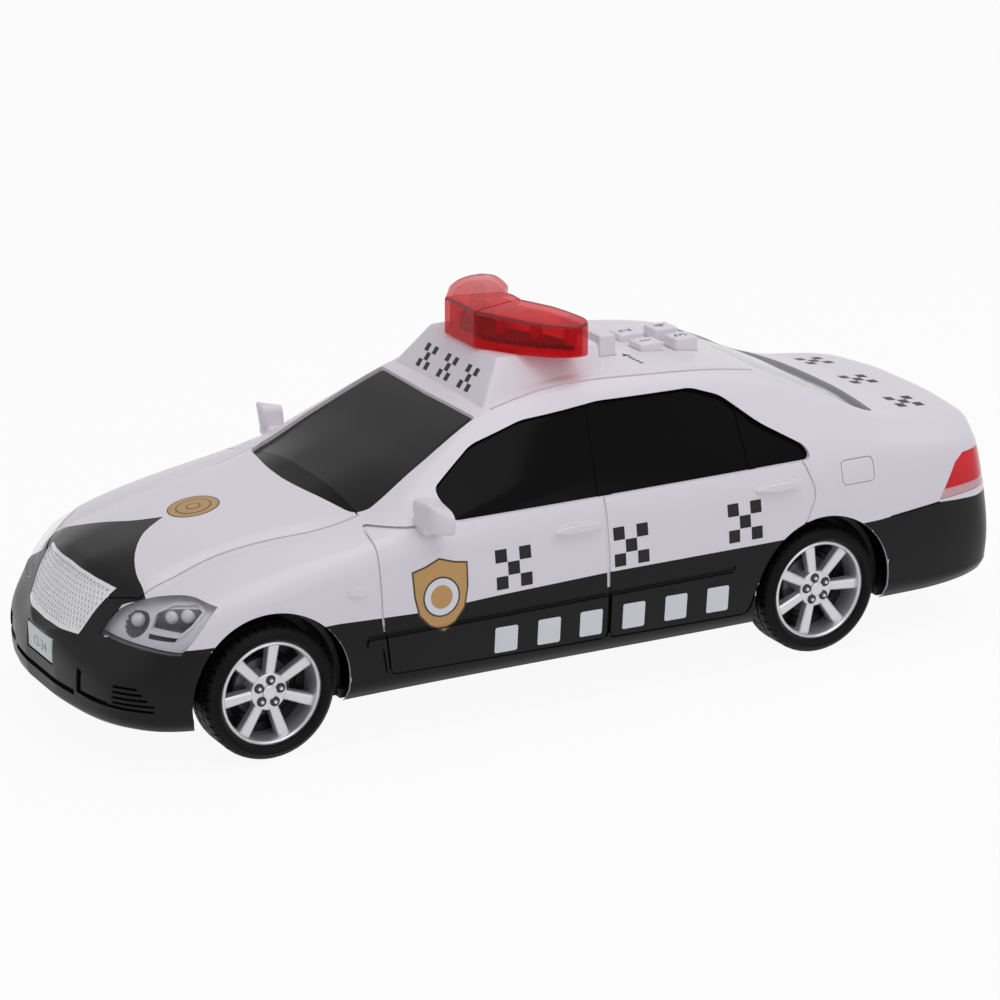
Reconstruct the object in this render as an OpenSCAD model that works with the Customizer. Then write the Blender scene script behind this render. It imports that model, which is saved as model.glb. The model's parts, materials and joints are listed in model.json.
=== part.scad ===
// Toy police car with a sound and light unit, in millimetres.
// +X is the nose, +Y the left side, +Z up, and the tyres stand on z = 0 around the origin.

/* [Body] */
// Overall length of the body moulding
body_l = 235; // [228:1:242]
// Width across the waist line, before its corner is rounded
body_w = 89; // [87:0.5:93]
// Height of the roof above the ground
body_h = 70.5; // [69.5:0.5:74]
// Wall of the body moulding
body_wall = 2; // [1.7:0.1:2.3]
// Width of a panel seam
seam_w = 0.7; // [0.5:0.1:1]
// Depth of a panel seam
seam_d = 0.5; // [0.3:0.1:0.8]
// Rise of the rub strips over the doors
strip_rise = 0.6; // [0.3:0.1:0.8]
// Height of a rub strip
strip_h = 2.2; // [1.6:0.1:2.8]
// Rise of the door handles
handle_rise = 1.1; // [0.7:0.1:1.4]
// Length of a door handle
handle_l = 12; // [9:0.5:14]
// Gap round a trim piece in its seat
trim_gap = 0.15; // [0.1:0.05:0.25]

/* [Wheels] */
// Distance between the axles
wheelbase = 142; // [140:0.5:144]
// Distance from the nose to the front axle
nose_overhang = 37.5; // [36.5:0.5:38.5]
// Outer diameter of a tyre
tyre_d = 31; // [30:0.5:32]
// Width of a tyre
tyre_w = 12; // [11:0.5:12.5]
// Diameter of the rim that the tyre sits on
rim_d = 24.2; // [23:0.2:25]
// Distance from the body side in to the tyre's outer face
wheel_tuck = 1.5; // [1:0.25:2]
// Number of spokes in a rim
spoke_n = 7; // [5:1:9]
// Width of a spoke at the hub
spoke_w = 3.4; // [2.6:0.2:4]
// Number of wheel nuts
nut_n = 5; // [4:1:6]
// Diameter of an axle
axle_d = 3; // [2.5:0.1:3.5]
// Radial running gap of an axle in its bearing
axle_gap = 0.05; // [0.03:0.01:0.08]
// Gap between a tyre and the body's wheel arch
arch_gap = 3.2; // [2.8:0.2:3.6]

/* [Chassis] */
// Height of the chassis underside above the ground
floor_z = 10.5; // [10:0.25:11]
// Thickness of the chassis floor
floor_t = 2; // [1.6:0.1:2.4]
// Gap between the chassis edge and the body
floor_gap = 0.5; // [0.3:0.1:0.8]
// Wall of the wheel housings
well_t = 1.2; // [1:0.1:1.6]
// Gap between a tyre and its wheel housing
well_gap = 2; // [1.5:0.1:2.4]

/* [Battery] */
// Diameter of a battery cell
cell_d = 14.5; // [13.5:0.5:15]
// Length of a battery cell with its tip
cell_l = 50.5; // [46:0.5:52]
// Clearance round each cell
cell_gap = 0.5; // [0.3:0.1:0.7]
// Wall of the battery box
box_t = 1.5; // [1.2:0.1:1.8]

/* [Sound] */
// Diameter of the loudspeaker
speaker_d = 30; // [27:0.5:31]
// Depth of the loudspeaker
speaker_h = 11; // [9:0.5:13]
// Length of the main circuit board
board_l = 26; // [24:0.5:27]
// Width of the main circuit board
board_w = 32; // [30:0.5:34]
// Thickness of a circuit board
board_t = 1.2; // [1:0.1:1.6]

/* [Keys] */
// Length of a number key
key_l = 6.2; // [5.4:0.1:6.8]
// Width of a number key
key_w = 5.7; // [5:0.1:6.4]
// Distance between number keys, both ways
key_pitch = 9.6; // [9.2:0.1:10]
// Height of the number keys above the roof's highest line
key_rise = 0.4; // [0.2:0.1:1]
// Length of the siren key
siren_l = 4.4; // [3.6:0.2:5]
// Width of the siren key
siren_w = 19.6; // [16:0.2:21]
// Height of the siren key above the roof's highest line
siren_rise = 4.7; // [4:0.1:5.5]
// Travel of a key
key_travel = 1.2; // [0.8:0.1:1.4]
// Gap between a key and its hole
key_gap = 0.25; // [0.2:0.05:0.35]

/* [Light bar] */
// Length of the light bar from its nose to its wing tips
bar_l = 21.6; // [20:0.2:23]
// Span of the light bar across its wing tips
bar_w = 53; // [49:0.5:56]
// Height of the light bar lens
bar_h = 9.2; // [8:0.2:10.5]
// Wall of the light bar lens
bar_wall = 1.2; // [1:0.1:1.5]
// Height of the pedestal's top above the roof
pedestal_h = 5.5; // [4.5:0.25:7]
// Half width of the pedestal's top
pedestal_top = 16.6; // [15.5:0.1:17.5]
// Half width of the pedestal's foot
pedestal_foot = 23; // [21.5:0.1:23.5]
// Wall of the pedestal
pedestal_t = 1.8; // [1.4:0.1:2.2]

/* [Glass and lamps] */
// Thickness of the window moulding
glass_t = 1.2; // [1:0.1:1.5]
// Length of a headlight along the body's corner
headlight_l = 27.5; // [25:0.5:29]
// Height of a headlight
headlight_h = 10.2; // [9:0.2:11]
// Thickness of a headlight lens
lens_t = 1.2; // [1:0.1:1.5]
// Depth of a headlight reflector behind its lens
reflector_t = 3; // [2.4:0.1:3.2]
// Thickness of the trim pieces that sit in the body
trim_t = 1; // [0.8:0.1:1.2]
// Width of the number plate
plate_w = 14; // [12:0.5:15]
// Height of the number plate
plate_h = 5.8; // [5:0.2:6]

/* [Fasteners] */
// Diameter of a screw's shank
screw_d = 2.2; // [2:0.1:2.4]
// Diameter of a screw's head
head_d = 4.4; // [4:0.1:4.8]
// Height of a screw's head
head_h = 1.6; // [1.2:0.1:1.8]
// Gap round a screw in its hole
screw_gap = 0.3; // [0.2:0.05:0.4]

/* [Hidden] */
$fn = 48;
overrun = 1;
far = body_l;

// The body form: five lines run from nose to tail, as shares of the half length along x and of the
// half width or the roof height across. Between their points they bend smoothly.
waist_y_shares = [
    [1, 0], [.985, .44], [.96, .67], [.93, .80], [.88, .915], [.81, .965], [.6, .99], [.3, 1],
    [-.6, 1], [-.78, .985], [-.87, .96], [-.93, .91], [-.97, .80], [-.99, .58], [-1, 0]
];
waist_z_shares = [[1, .26], [.9, .31], [.6, .39], [-.6, .415], [-.9, .35], [-1, .28]];
sill_z_shares = [
    [1, .16], [.93, .124], [.8, .108], [.6, .118], [.3, .124], [-.3, .119], [-.75, .119], [-.95, .15], [-1, .175]
];
shoulder_y_shares = [
    [1, 0], [.97, .36], [.93, .62], [.88, .80], [.81, .895], [.7, .925], [.4, .935], [.2, .93],
    [-.3, .93], [-.55, .925], [-.8, .915], [-.91, .85], [-.954, .74], [-.975, .66], [-1, 0]
];
shoulder_z_shares = [
    [1, .33], [.96, .36], [.9, .425], [.84, .49], [.7, .56], [.5, .62], [.37, .655], [.2, .67],
    [-.5, .67], [-.7, .66], [-.91, .62], [-.954, .59], [-.972, .445], [-1, .37]
];
rail_y_shares = [
    [1, 0], [.97, .26], [.94, .36], [.89, .43], [.8, .50], [.6, .64], [.45, .70], [.31, .64], [.17, .565],
    [0, .57], [-.2, .57], [-.4, .565], [-.47, .58], [-.7, .74], [-.8, .74], [-.911, .68], [-.954, .60],
    [-.975, .48], [-1, 0]
];
rail_z_shares = [
    [1, .33], [.965, .40], [.93, .48], [.89, .54], [.8, .585], [.6, .645], [.45, .675], [.31, .80],
    [.17, .925], [.09, .965], [-.01, .995], [-.11, 1], [-.24, .99], [-.34, .975], [-.455, .94],
    [-.6, .84], [-.7, .755], [-.8, .715], [-.911, .70], [-.95, .68], [-.966, .54], [-.975, .455], [-1, .37]
];
crown_z_shares = [
    [1, .33], [.98, .378], [.96, .445], [.935, .518], [.917, .564], [.885, .585], [.8, .62], [.66, .662],
    [.48, .708], [.31, .81], [.18, .92], [.12, .957], [.03, .987], [-.1, 1], [-.22, .992], [-.33, .973],
    [-.41, .956], [-.47, .933], [-.6, .858], [-.7, .784], [-.74, .759], [-.82, .729], [-.9, .718],
    [-.945, .709], [-.958, .674], [-.968, .518], [-.975, .46], [-.988, .45], [-1, .37]
];
sill_tuck_share = .955;
crown_flat_share = .45;
pinch_share = .2;
// How far each line's corner is rounded along its two panels, and in how many steps
round_shares = [.25, .5, .3, .24, .5];
fine_steps = [1, 2, 3, 2, 1];
fine_n = 27;
plain_steps = [1, 1, 2, 2, 1];
plain_n = 17;
end_angle = 4;

function turned(shares) = [for (s = shares) [acos(s[0]), s[1]]];
waist_y_line = turned(waist_y_shares);
waist_z_line = turned(waist_z_shares);
sill_z_line = turned(sill_z_shares);
shoulder_y_line = turned(shoulder_y_shares);
shoulder_z_line = turned(shoulder_z_shares);
rail_y_line = turned(rail_y_shares);
rail_z_line = turned(rail_z_shares);
crown_z_line = turned(crown_z_shares);

// A smooth line through rows of angle and value that never swings past its points
function row_at(t, a, i = 0) = i < len(t) - 2 && a > t[i + 1][0] ? row_at(t, a, i + 1) : i;
function rise(t, i) = (t[i + 1][1] - t[i][1]) / (t[i + 1][0] - t[i][0]);
function slope(t, i) =
    i == 0 ? rise(t, 0)
    : i == len(t) - 1 ? rise(t, i - 1)
    : rise(t, i - 1) * rise(t, i) <= 0 ? 0
    : 2 * rise(t, i - 1) * rise(t, i) / (rise(t, i - 1) + rise(t, i));
function along(t, a) =
    let(i = row_at(t, a), h = t[i + 1][0] - t[i][0], k = (a - t[i][0]) / h)
    t[i][1] * (1 + 2 * k) * pow(1 - k, 2) + slope(t, i) * h * k * pow(1 - k, 2)
    + t[i + 1][1] * k * k * (3 - 2 * k) + slope(t, i + 1) * h * k * k * (k - 1);

// Corners of a path bent round, each by a share of its two sides
function bend(p, q, r, share, n) =
    let(a = q + (p - q) * share, b = q + (r - q) * share)
    [for (i = [0 : n]) a * pow(1 - i / n, 2) + q * (2 * i / n * (1 - i / n)) + b * pow(i / n, 2)];
function rounded(p, shares, steps) =
    [for (i = [1 : len(p) - 2]) each bend(p[i - 1], p[i], p[i + 1], shares[i - 1], steps[i - 1])];

// One section of the body at a station angle, set in by a wall
function drawn_in(y, inset) = max(y - inset, y * pinch_share);
function station_x(a, inset) = (body_l / 2 - inset) * cos(a) / cos(end_angle);
function waist_y(a) = body_w / 2 * along(waist_y_line, a);
function section(a, inset, steps) =
    let(
        waist = waist_y(a),
        sill_z = body_h * along(sill_z_line, a),
        rail = drawn_in(body_w / 2 * along(rail_y_line, a), inset),
        crown_z = body_h * along(crown_z_line, a) - inset,
        path = [
            [0, sill_z],
            [drawn_in(waist * sill_tuck_share, inset), sill_z],
            [drawn_in(waist, inset), body_h * along(waist_z_line, a)],
            [drawn_in(body_w / 2 * along(shoulder_y_line, a), inset), body_h * along(shoulder_z_line, a) - inset],
            [rail, body_h * along(rail_z_line, a) - inset],
            [rail * crown_flat_share, crown_z],
            [0, crown_z]
        ]
    )
    concat([path[0]], rounded(path, round_shares, steps), [path[len(path) - 1]]);
function ring(a, inset, steps) =
    let(half = section(a, inset, steps), x = station_x(a, inset))
    concat(
        [for (p = half) [x, p[0], p[1]]],
        [for (i = [len(half) - 2 : -1 : 1]) [x, -half[i][0], half[i][1]]]
    );
function stations(n) = [for (i = [0 : n]) end_angle + (180 - 2 * end_angle) * i / n];

// A closed skin over rings of equal length
module skin(rings) {
    n = len(rings[0]);
    m = len(rings);
    polyhedron(
        points = [for (r = rings) each r],
        faces = concat(
            [[for (j = [n - 1 : -1 : 0]) j]],
            [[for (j = [0 : n - 1]) (m - 1) * n + j]],
            [for (i = [0 : m - 2], j = [0 : n - 1])
                let(a = i * n + j, b = i * n + (j + 1) % n)
                each [[a, b, b + n], [a, b + n, a + n]]]
        )
    );
}
module body_form(inset) {
    skin([for (a = stations(fine_n)) ring(a, inset, fine_steps)]);
}
// The same form with fewer facets, for the hidden inside
module inner_form(inset) {
    skin([for (a = stations(plain_n)) ring(a, inset, plain_steps)]);
}
// A moulding whose length along x is kept at the given size
module moulded(l = 0) {
    resize([l, 0, 0]) children();
}
// Layer of the body form between two depths under its surface, inside a cutter
module layer(outer, inner) {
    difference() {
        intersection() {
            body_form(outer);
            children();
        }
        body_form(inner);
    }
}

// Places on the body, as shares of its half length, half width and roof height
function at_x(share) = share * body_l / 2;
function on_side(shares) = [for (s = shares) [s[0] * body_l / 2, s[1] * body_h]];
function on_plan(shares) = [for (s = shares) [s[0] * body_l / 2, s[1] * body_w / 2]];
function on_front(shares) = [for (s = shares) [s[0] * body_w / 2, s[1] * body_h]];
side_window_shares = [
    [.288, .668], [.303, .753], [.202, .858], [.091, .912], [-.078, .937], [-.29, .930], [-.352, .895],
    [-.421, .80], [-.507, .716], [-.511, .674]
];
windscreen_shares = [[.487, 0], [.483, .196], [.459, .524], [.426, .645], [.17, .53], [.174, 0]];
rear_window_shares = [[-.485, 0], [-.475, .50], [-.536, .59], [-.655, .69], [-.715, .67], [-.732, 0]];
front_pillar_shares = [[-.062, .94], [-.09, .94], [-.052, .668], [-.022, .668]];
rear_pillar_shares = [[-.388, .86], [-.408, .86], [-.381, .668], [-.365, .668]];
front_door_shares = [[.459, .672], [.459, .411], [.446, .27], [.442, .214], [-.032, .199], [-.032, .672]];
rear_door_shares = [
    [-.032, .672], [-.032, .199], [-.357, .19], [-.374, .284], [-.485, .468], [-.515, .567], [-.494, .672]
];
hood_shares = [
    [.912, 0], [.902, .27], [.876, .56], [.80, .507], [.718, .458], [.64, .485], [.567, .54], [.50, .56],
    [.43, .66], [.47, .524], [.492, 0]
];
fuel_lid_shares = [[-.574, .574], [-.574, .657], [-.652, .657], [-.652, .574]];
tail_lamp_shares = [[-.809, .467], [-.855, .58], [-.879, .604], [-1.1, .597], [-1.1, .477]];
grille_shares = [[0, .369], [.326, .376], [.416, .528], [.2, .543], [0, .546]];
strip_shares = [[.489, .322], [-.319, .358]];
handle_shares = [[.03, .59], [-.425, .612]];
marker_shares = [.504, .51];
fog_shares = [[.405, .21], [.65, .21], [.65, .277], [.405, .277]];
lower_slot_shares = [[0, .192], [.38, .192], [.38, .21], [0, .21]];
louvre_y_shares = [.70, .75, .80, .85];
louvre_z_shares = [.215, .27];

// Round-cornered outline of a panel or window
module outline(points, r) {
    offset(r = r, $fn = screw_sides) offset(delta = -r) polygon(points);
}
// A half outline and its mirror image
module whole(points) {
    polygon(concat(points, [for (i = [len(points) - 1 : -1 : 0]) [points[i][0], -points[i][1]]]));
}
module whole_front(points) {
    polygon(concat(points, [for (i = [len(points) - 1 : -1 : 0]) [-points[i][0], points[i][1]]]));
}
module both_sides() {
    for (k = [0, 1]) mirror([0, k, 0]) children();
}
// Flat outlines sent through the body: from the left side, from the front and from above
module from_side(near, out) {
    translate([0, out, 0]) rotate([90, 0, 0]) linear_extrude(out - near) children();
}
module from_front(near, out) {
    translate([near, 0, 0]) rotate([90, 0, 90]) linear_extrude(out - near) children();
}
module from_above(low) {
    translate([0, 0, low]) linear_extrude(far) children();
}
// Line of an outline as a panel seam
module seam_line() {
    difference() {
        offset(delta = seam_w / 2) children();
        offset(delta = -seam_w / 2) children();
    }
}
module box_at(size, at) {
    translate(at - [size[0] / 2, size[1] / 2, 0]) cube(size);
}
module peg_at(d, h, at) {
    translate(at) cylinder(d = d, h = h);
}
// A pan-head screw standing on its head's seat, its shank upwards
module screw(l) {
    translate([0, 0, -head_h]) cylinder(d = head_d, h = head_h, $fn = screw_sides);
    cylinder(d = screw_d, h = l, $fn = screw_sides);
}
module pilot(l) {
    cylinder(d = screw_d + 2 * thread_gap, h = l, $fn = screw_sides);
}

// Derived places
front_x = body_l / 2 - nose_overhang;
rear_x = front_x - wheelbase;
axle_z = tyre_d / 2;
wheel_out = body_w / 2 - wheel_tuck;
wheel_in = wheel_out - tyre_w;
arch_r = tyre_d / 2 + arch_gap;
well_r = tyre_d / 2 + well_gap;
hub_gap = 0.4;
hub_reach = 3;
bearing_t = 2.5;
well_out = wheel_in - hub_reach - hub_gap;
well_in = well_out - bearing_t;
liner_w = 10;
floor_top = floor_z + floor_t;
corner_r = 2;
floor_end_angles = [18, 158];
floor_steps = 28;

// Body screws and their bosses
boss_d = 6.4;
boss_rise = 1.4;
boss_z = floor_top + boss_rise;
boss_x_shares = [.834, -.80];
boss_y = [15, 26];
body_screw_at = [for (i = [0, 1]) [at_x(boss_x_shares[i]), boss_y[i]]];
head_sink = 0.3;
thread_gap = 0.05;
grip_l = 7;
screw_sides = 12;

// Keys, their guides and the board under them
seat_drop = 6.5;
seat_z = body_h - seat_drop;
flange_t = 1.2;
flange_w = 0.9;
guide_t = 1.2;
stem_l = 2;
stem_w = 3;
rest_gap = 0.1;
tact_w = 5.6;
tact_h = 3;
plunger_d = 3;
plunger_h = 0.8;
key_bevel = 0.5;
siren_x_share = -.192;
keys_x_share = -.345;
siren_x = at_x(siren_x_share);
keys_x = at_x(keys_x_share);
board_top = seat_z - flange_t - stem_l - key_travel - rest_gap - plunger_h - tact_h;
post_w = 5;
post_y = 13.4;
post_x_shares = [-.115, -.445];
post_x = [for (s = post_x_shares) at_x(s)];
board_edge = 3.4;
key_spots = [
    [keys_x + key_pitch / 2, key_pitch / 2], [keys_x + key_pitch / 2, -key_pitch / 2],
    [keys_x - key_pitch / 2, key_pitch / 2], [keys_x - key_pitch / 2, -key_pitch / 2]
];

// Pedestal and light bar
pedestal_low = seat_z + flange_t;
pedestal_z = body_h + pedestal_h;
pedestal_x_shares = [.156, -.125, .0885, -.136];
pedestal_x = [for (s = pedestal_x_shares) at_x(s)];
pedestal_screw_y = 9.5;
pedestal_screw_at = [(pedestal_x[2] + pedestal_x[3]) / 2, pedestal_screw_y];
pad_d = 7;
pad_z = seat_z + overrun;
bar_x_share = .097;
bar_x = at_x(bar_x_share);
bar_shares = [
    [0, 0], [0, .272], [.315, .68], [.69, .966], [.926, .974], [1, .811], [.88, .415], [.676, .136], [.676, 0]
];
bar_round_shares = [.3, .12, .25, .3, .3, .2, .3];
bar_round_steps = [3, 1, 3, 3, 3, 2, 3];
bar_tip_drop = 1.4;
bar_bevel = 1.6;
tray_t = 1.2;
peg_w = 3.4;
peg_l = 2.6;
peg_y = 6;
led_d = 3;
led_h = 4.2;
led_shares = [[.34, .28], [.56, .56], [.79, .83]];
bar_board_inset = 2;
bar_spine_shares = [.34, .45, .86];
led_profile_shares = [[0, 0], [1, 0], [1, .6], [.7, .9], [0, 1]];

// Windows
glass_out = body_wall + trim_gap;
glass_x_shares = [.52, -.755];
glass_z_share = .61;
glass_x = [for (s = glass_x_shares) at_x(s)];
glass_z = glass_z_share * body_h;
window_r = 2.4;
pillar_depth = 0.9;

// Headlights, seen along the body's corner
lamp_turn = 45;
headlight_at_shares = [.946, .456, .396];
headlight_x = at_x(headlight_at_shares[0]);
headlight_y = headlight_at_shares[1] * body_w / 2;
headlight_z = headlight_at_shares[2] * body_h;
lamp_room = 7;
lamp_near = (headlight_x + headlight_y) * cos(lamp_turn) - lamp_room;
headlight_u = headlight_y * cos(lamp_turn) - headlight_x * sin(lamp_turn);
headlight_shares = [
    [0, .03], [.17, .64], [.42, .83], [.78, 1], [1, .89], [.95, .68], [.91, .39], [.75, .17], [.52, .05], [.22, 0]
];
bowl_shares = [[.35, .40], [.70, .57]];
bowl_d = 5;
bowl_up = 5.5;
tail_lamp_y_share = .36;
plate_z_share = .292;
tail_lamp_y = tail_lamp_y_share * body_w / 2;
plate_z = plate_z_share * body_h;
recess = 1.2;
rim_line = 0.9;

// Mirrors
mirror_at_shares = [.344, .99, .718];
mirror_at = [at_x(mirror_at_shares[0]), mirror_at_shares[1] * body_w / 2, mirror_at_shares[2] * body_h];
mirror_r = 3.5;
mirror_long = 2.6;
mirror_high = 1.1;
mirror_face = 3;
mirror_foot = [5, 6, 3];
mirror_peg = 2.6;
mirror_in = 6.4;
mirror_hole = [mirror_peg + 2 * trim_gap, mirror_in + 2 * trim_gap, mirror_peg + 2 * trim_gap];
mirror_hole_at = mirror_at - [0, mirror_in / 2, mirror_foot[2] / 2 + mirror_hole[2] / 2];

// Battery box, speaker and main board
battery_x = (front_x + rear_x) / 2;
contact_t = 0.4;
contact_bump = 0.6;
contact_d = 6;
contact_room = 1.2;
box_l = cell_l + 2 * contact_room;
box_w = 2 * cell_d + 3 * cell_gap;
box_h = cell_d + 2 * cell_gap;
tip_d = 5.5;
tip_l = 1.2;
ledge = 1.4;
door_t = 1.2;
door_gap = 0.2;
cup_h = 3;
cup_t = 1.1;
cup_d = head_d + 2 * screw_gap + 2 * cup_t;
bay_gap = 1.5;
door_screw_x = battery_x + box_l / 2 + box_t + cup_d / 2 + cup_t;
pillar_h = 8;
tab_l = 2;
tab_w = 5;
tab_y = 8;
speaker_rim = 3;
speaker_gap = 0.3;
ring_t = 1.4;
speaker_x = battery_x - box_l / 2 - box_t - tab_l - bay_gap - ring_t - speaker_gap - speaker_d / 2;
cone_d_share = .72;
magnet_d_share = .55;
slot_w = 2;
slot_n = 5;
slot_pitch = 4.4;
slot_l = 20;
main_lift = 6;
main_x = door_screw_x + cup_d / 2 + cup_t + door_gap + bay_gap + board_l / 2;
main_z = floor_top + main_lift;
main_post_d = 5.4;
main_inset = 3.6;
chip_d = 9;
chip_h = 1.4;
part_size = [5, 7, 3];
part_spot = [8, 5];

// Plan of the body's bottom edge, set in by a wall, between two station angles
function plan_points(inset, ends) = [
    for (i = [0 : floor_steps])
        let(a = ends[0] + (ends[1] - ends[0]) * i / floor_steps)
        [station_x(a, inset), drawn_in(waist_y(a) * sill_tuck_share, inset)]
];

// The body moulding and everything moulded with it
module key_hole(at, l, w) {
    box_at([l + 2 * key_gap, w + 2 * key_gap, far], [at[0], at[1], seat_z - overrun]);
}
module key_guide(at, l, w) {
    grown = 2 * (key_gap + guide_t);
    box_at([l + grown, w + grown, far], [at[0], at[1], seat_z]);
}
module headlight_outline() {
    translate([headlight_u, headlight_z])
        polygon([for (s = headlight_shares) [s[0] * headlight_l, s[1] * headlight_h]]);
}
module along_lamp() {
    rotate([0, 0, lamp_turn]) from_front(lamp_near, body_l / 2) children();
}
module side_seams() {
    seam_line() outline(on_side(front_door_shares), corner_r);
    seam_line() outline(on_side(rear_door_shares), corner_r);
}
module bumper_openings() {
    polygon(on_front(fog_shares));
    polygon(on_front(lower_slot_shares));
    for (s = louvre_y_shares) {
        translate([s * body_w / 2, louvre_z_shares[0] * body_h])
            square([seam_w * 2, (louvre_z_shares[1] - louvre_z_shares[0]) * body_h]);
    }
}
module raised_side() {
    start = on_side(strip_shares)[0];
    finish = on_side(strip_shares)[1];
    polygon([start, start + [0, strip_h], finish + [0, strip_h], finish]);
}
module raised_handles() {
    for (s = on_side(handle_shares)) {
        translate(s - [handle_l / 2, strip_h / 2]) square([handle_l, strip_h]);
    }
}
module raised_marker() {
    translate(on_side([marker_shares])[0]) scale([strip_h, 1]) circle(r = 1, $fn = screw_sides);
}
module wheel_arches() {
    for (x = [front_x, rear_x]) {
        translate([x, 0, axle_z]) rotate([90, 0, 0]) cylinder(r = arch_r, h = far, center = true, $fn = 3 * screw_sides);
    }
}
module shell_wall() {
    difference() {
        union() {
            body_form(0);
            both_sides() {
                intersection() {
                    body_form(-strip_rise);
                    from_side(wheel_in, body_w) {
                        raised_side();
                        raised_marker();
                    }
                }
                intersection() {
                    body_form(-handle_rise);
                    from_side(wheel_in, body_w) raised_handles();
                }
            }
        }
        inner_form(body_wall);
        translate([0, 0, floor_top - far]) linear_extrude(far) whole(plan_points(body_wall, [end_angle, 180 - end_angle]));
        difference() {
            wheel_arches();
            box_at([far, 2 * well_out, far], [0, 0, 0]);
        }
        both_sides() {
            from_side(wheel_in / 2, body_w) outline(on_side(side_window_shares), window_r);
            along_lamp() offset(delta = trim_gap) headlight_outline();
            box_at(mirror_hole, mirror_hole_at);
            difference() {
                union() {
                    from_side(tail_lamp_y, body_w) polygon(on_side(tail_lamp_shares));
                    from_front(0, body_l) bumper_openings();
                }
                body_form(recess);
            }
            difference() {
                from_side(wheel_in, body_w) side_seams();
                inner_form(seam_d);
            }
        }
        from_above(glass_z) outline_whole(on_plan(windscreen_shares));
        from_above(glass_z) outline_whole(on_plan(rear_window_shares));
        difference() {
            from_front(0, body_l) whole_front(on_front(grille_shares));
            body_form(recess);
        }
        difference() {
            union() {
                from_above(glass_z / 2) seam_line() whole(on_plan(hood_shares));
                from_side(wheel_in, body_w) seam_line() outline(on_side(fuel_lid_shares), overrun);
            }
            body_form(seam_d);
        }
        box_at([2 * recess, plate_w + 2 * trim_gap, plate_h + 2 * trim_gap],
            [body_l / 2, 0, plate_z - plate_h / 2 - trim_gap]);
    }
}
module outline_whole(points) {
    offset(r = window_r, $fn = screw_sides) offset(delta = -window_r) whole(points);
}
module shell_inside() {
    intersection() {
        inner_form(body_wall / 2);
        union() {
            both_sides() {
                for (s = body_screw_at) {
                    translate([s[0], s[1], boss_z]) cylinder(d = boss_d, h = far, $fn = 2 * screw_sides);
                }
                for (x = post_x) box_at([post_w, post_w, far], [x, post_y, board_top]);
                translate([pedestal_screw_at[0], pedestal_screw_at[1], pad_z])
                    cylinder(d = pad_d, h = far, $fn = 2 * screw_sides);
            }
            key_guide([siren_x, 0], siren_l, siren_w);
            for (s = key_spots) key_guide(s, key_l, key_w);
        }
    }
}
module body_shell() {
    color("white") moulded(body_l) difference() {
        union() {
            shell_wall();
            shell_inside();
        }
        both_sides() {
            for (s = body_screw_at) translate([s[0], s[1], boss_z - overrun]) pilot(grip_l + 2 * overrun);
            for (x = post_x) translate([x, post_y, board_top - overrun]) pilot(grip_l);
            translate([pedestal_screw_at[0], pedestal_screw_at[1], pad_z - overrun])
                cylinder(d = screw_d + 2 * screw_gap, h = far, $fn = screw_sides);
        }
        key_hole([siren_x, 0], siren_l, siren_w);
        for (s = key_spots) key_hole(s, key_l, key_w);
    }
}

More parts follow.
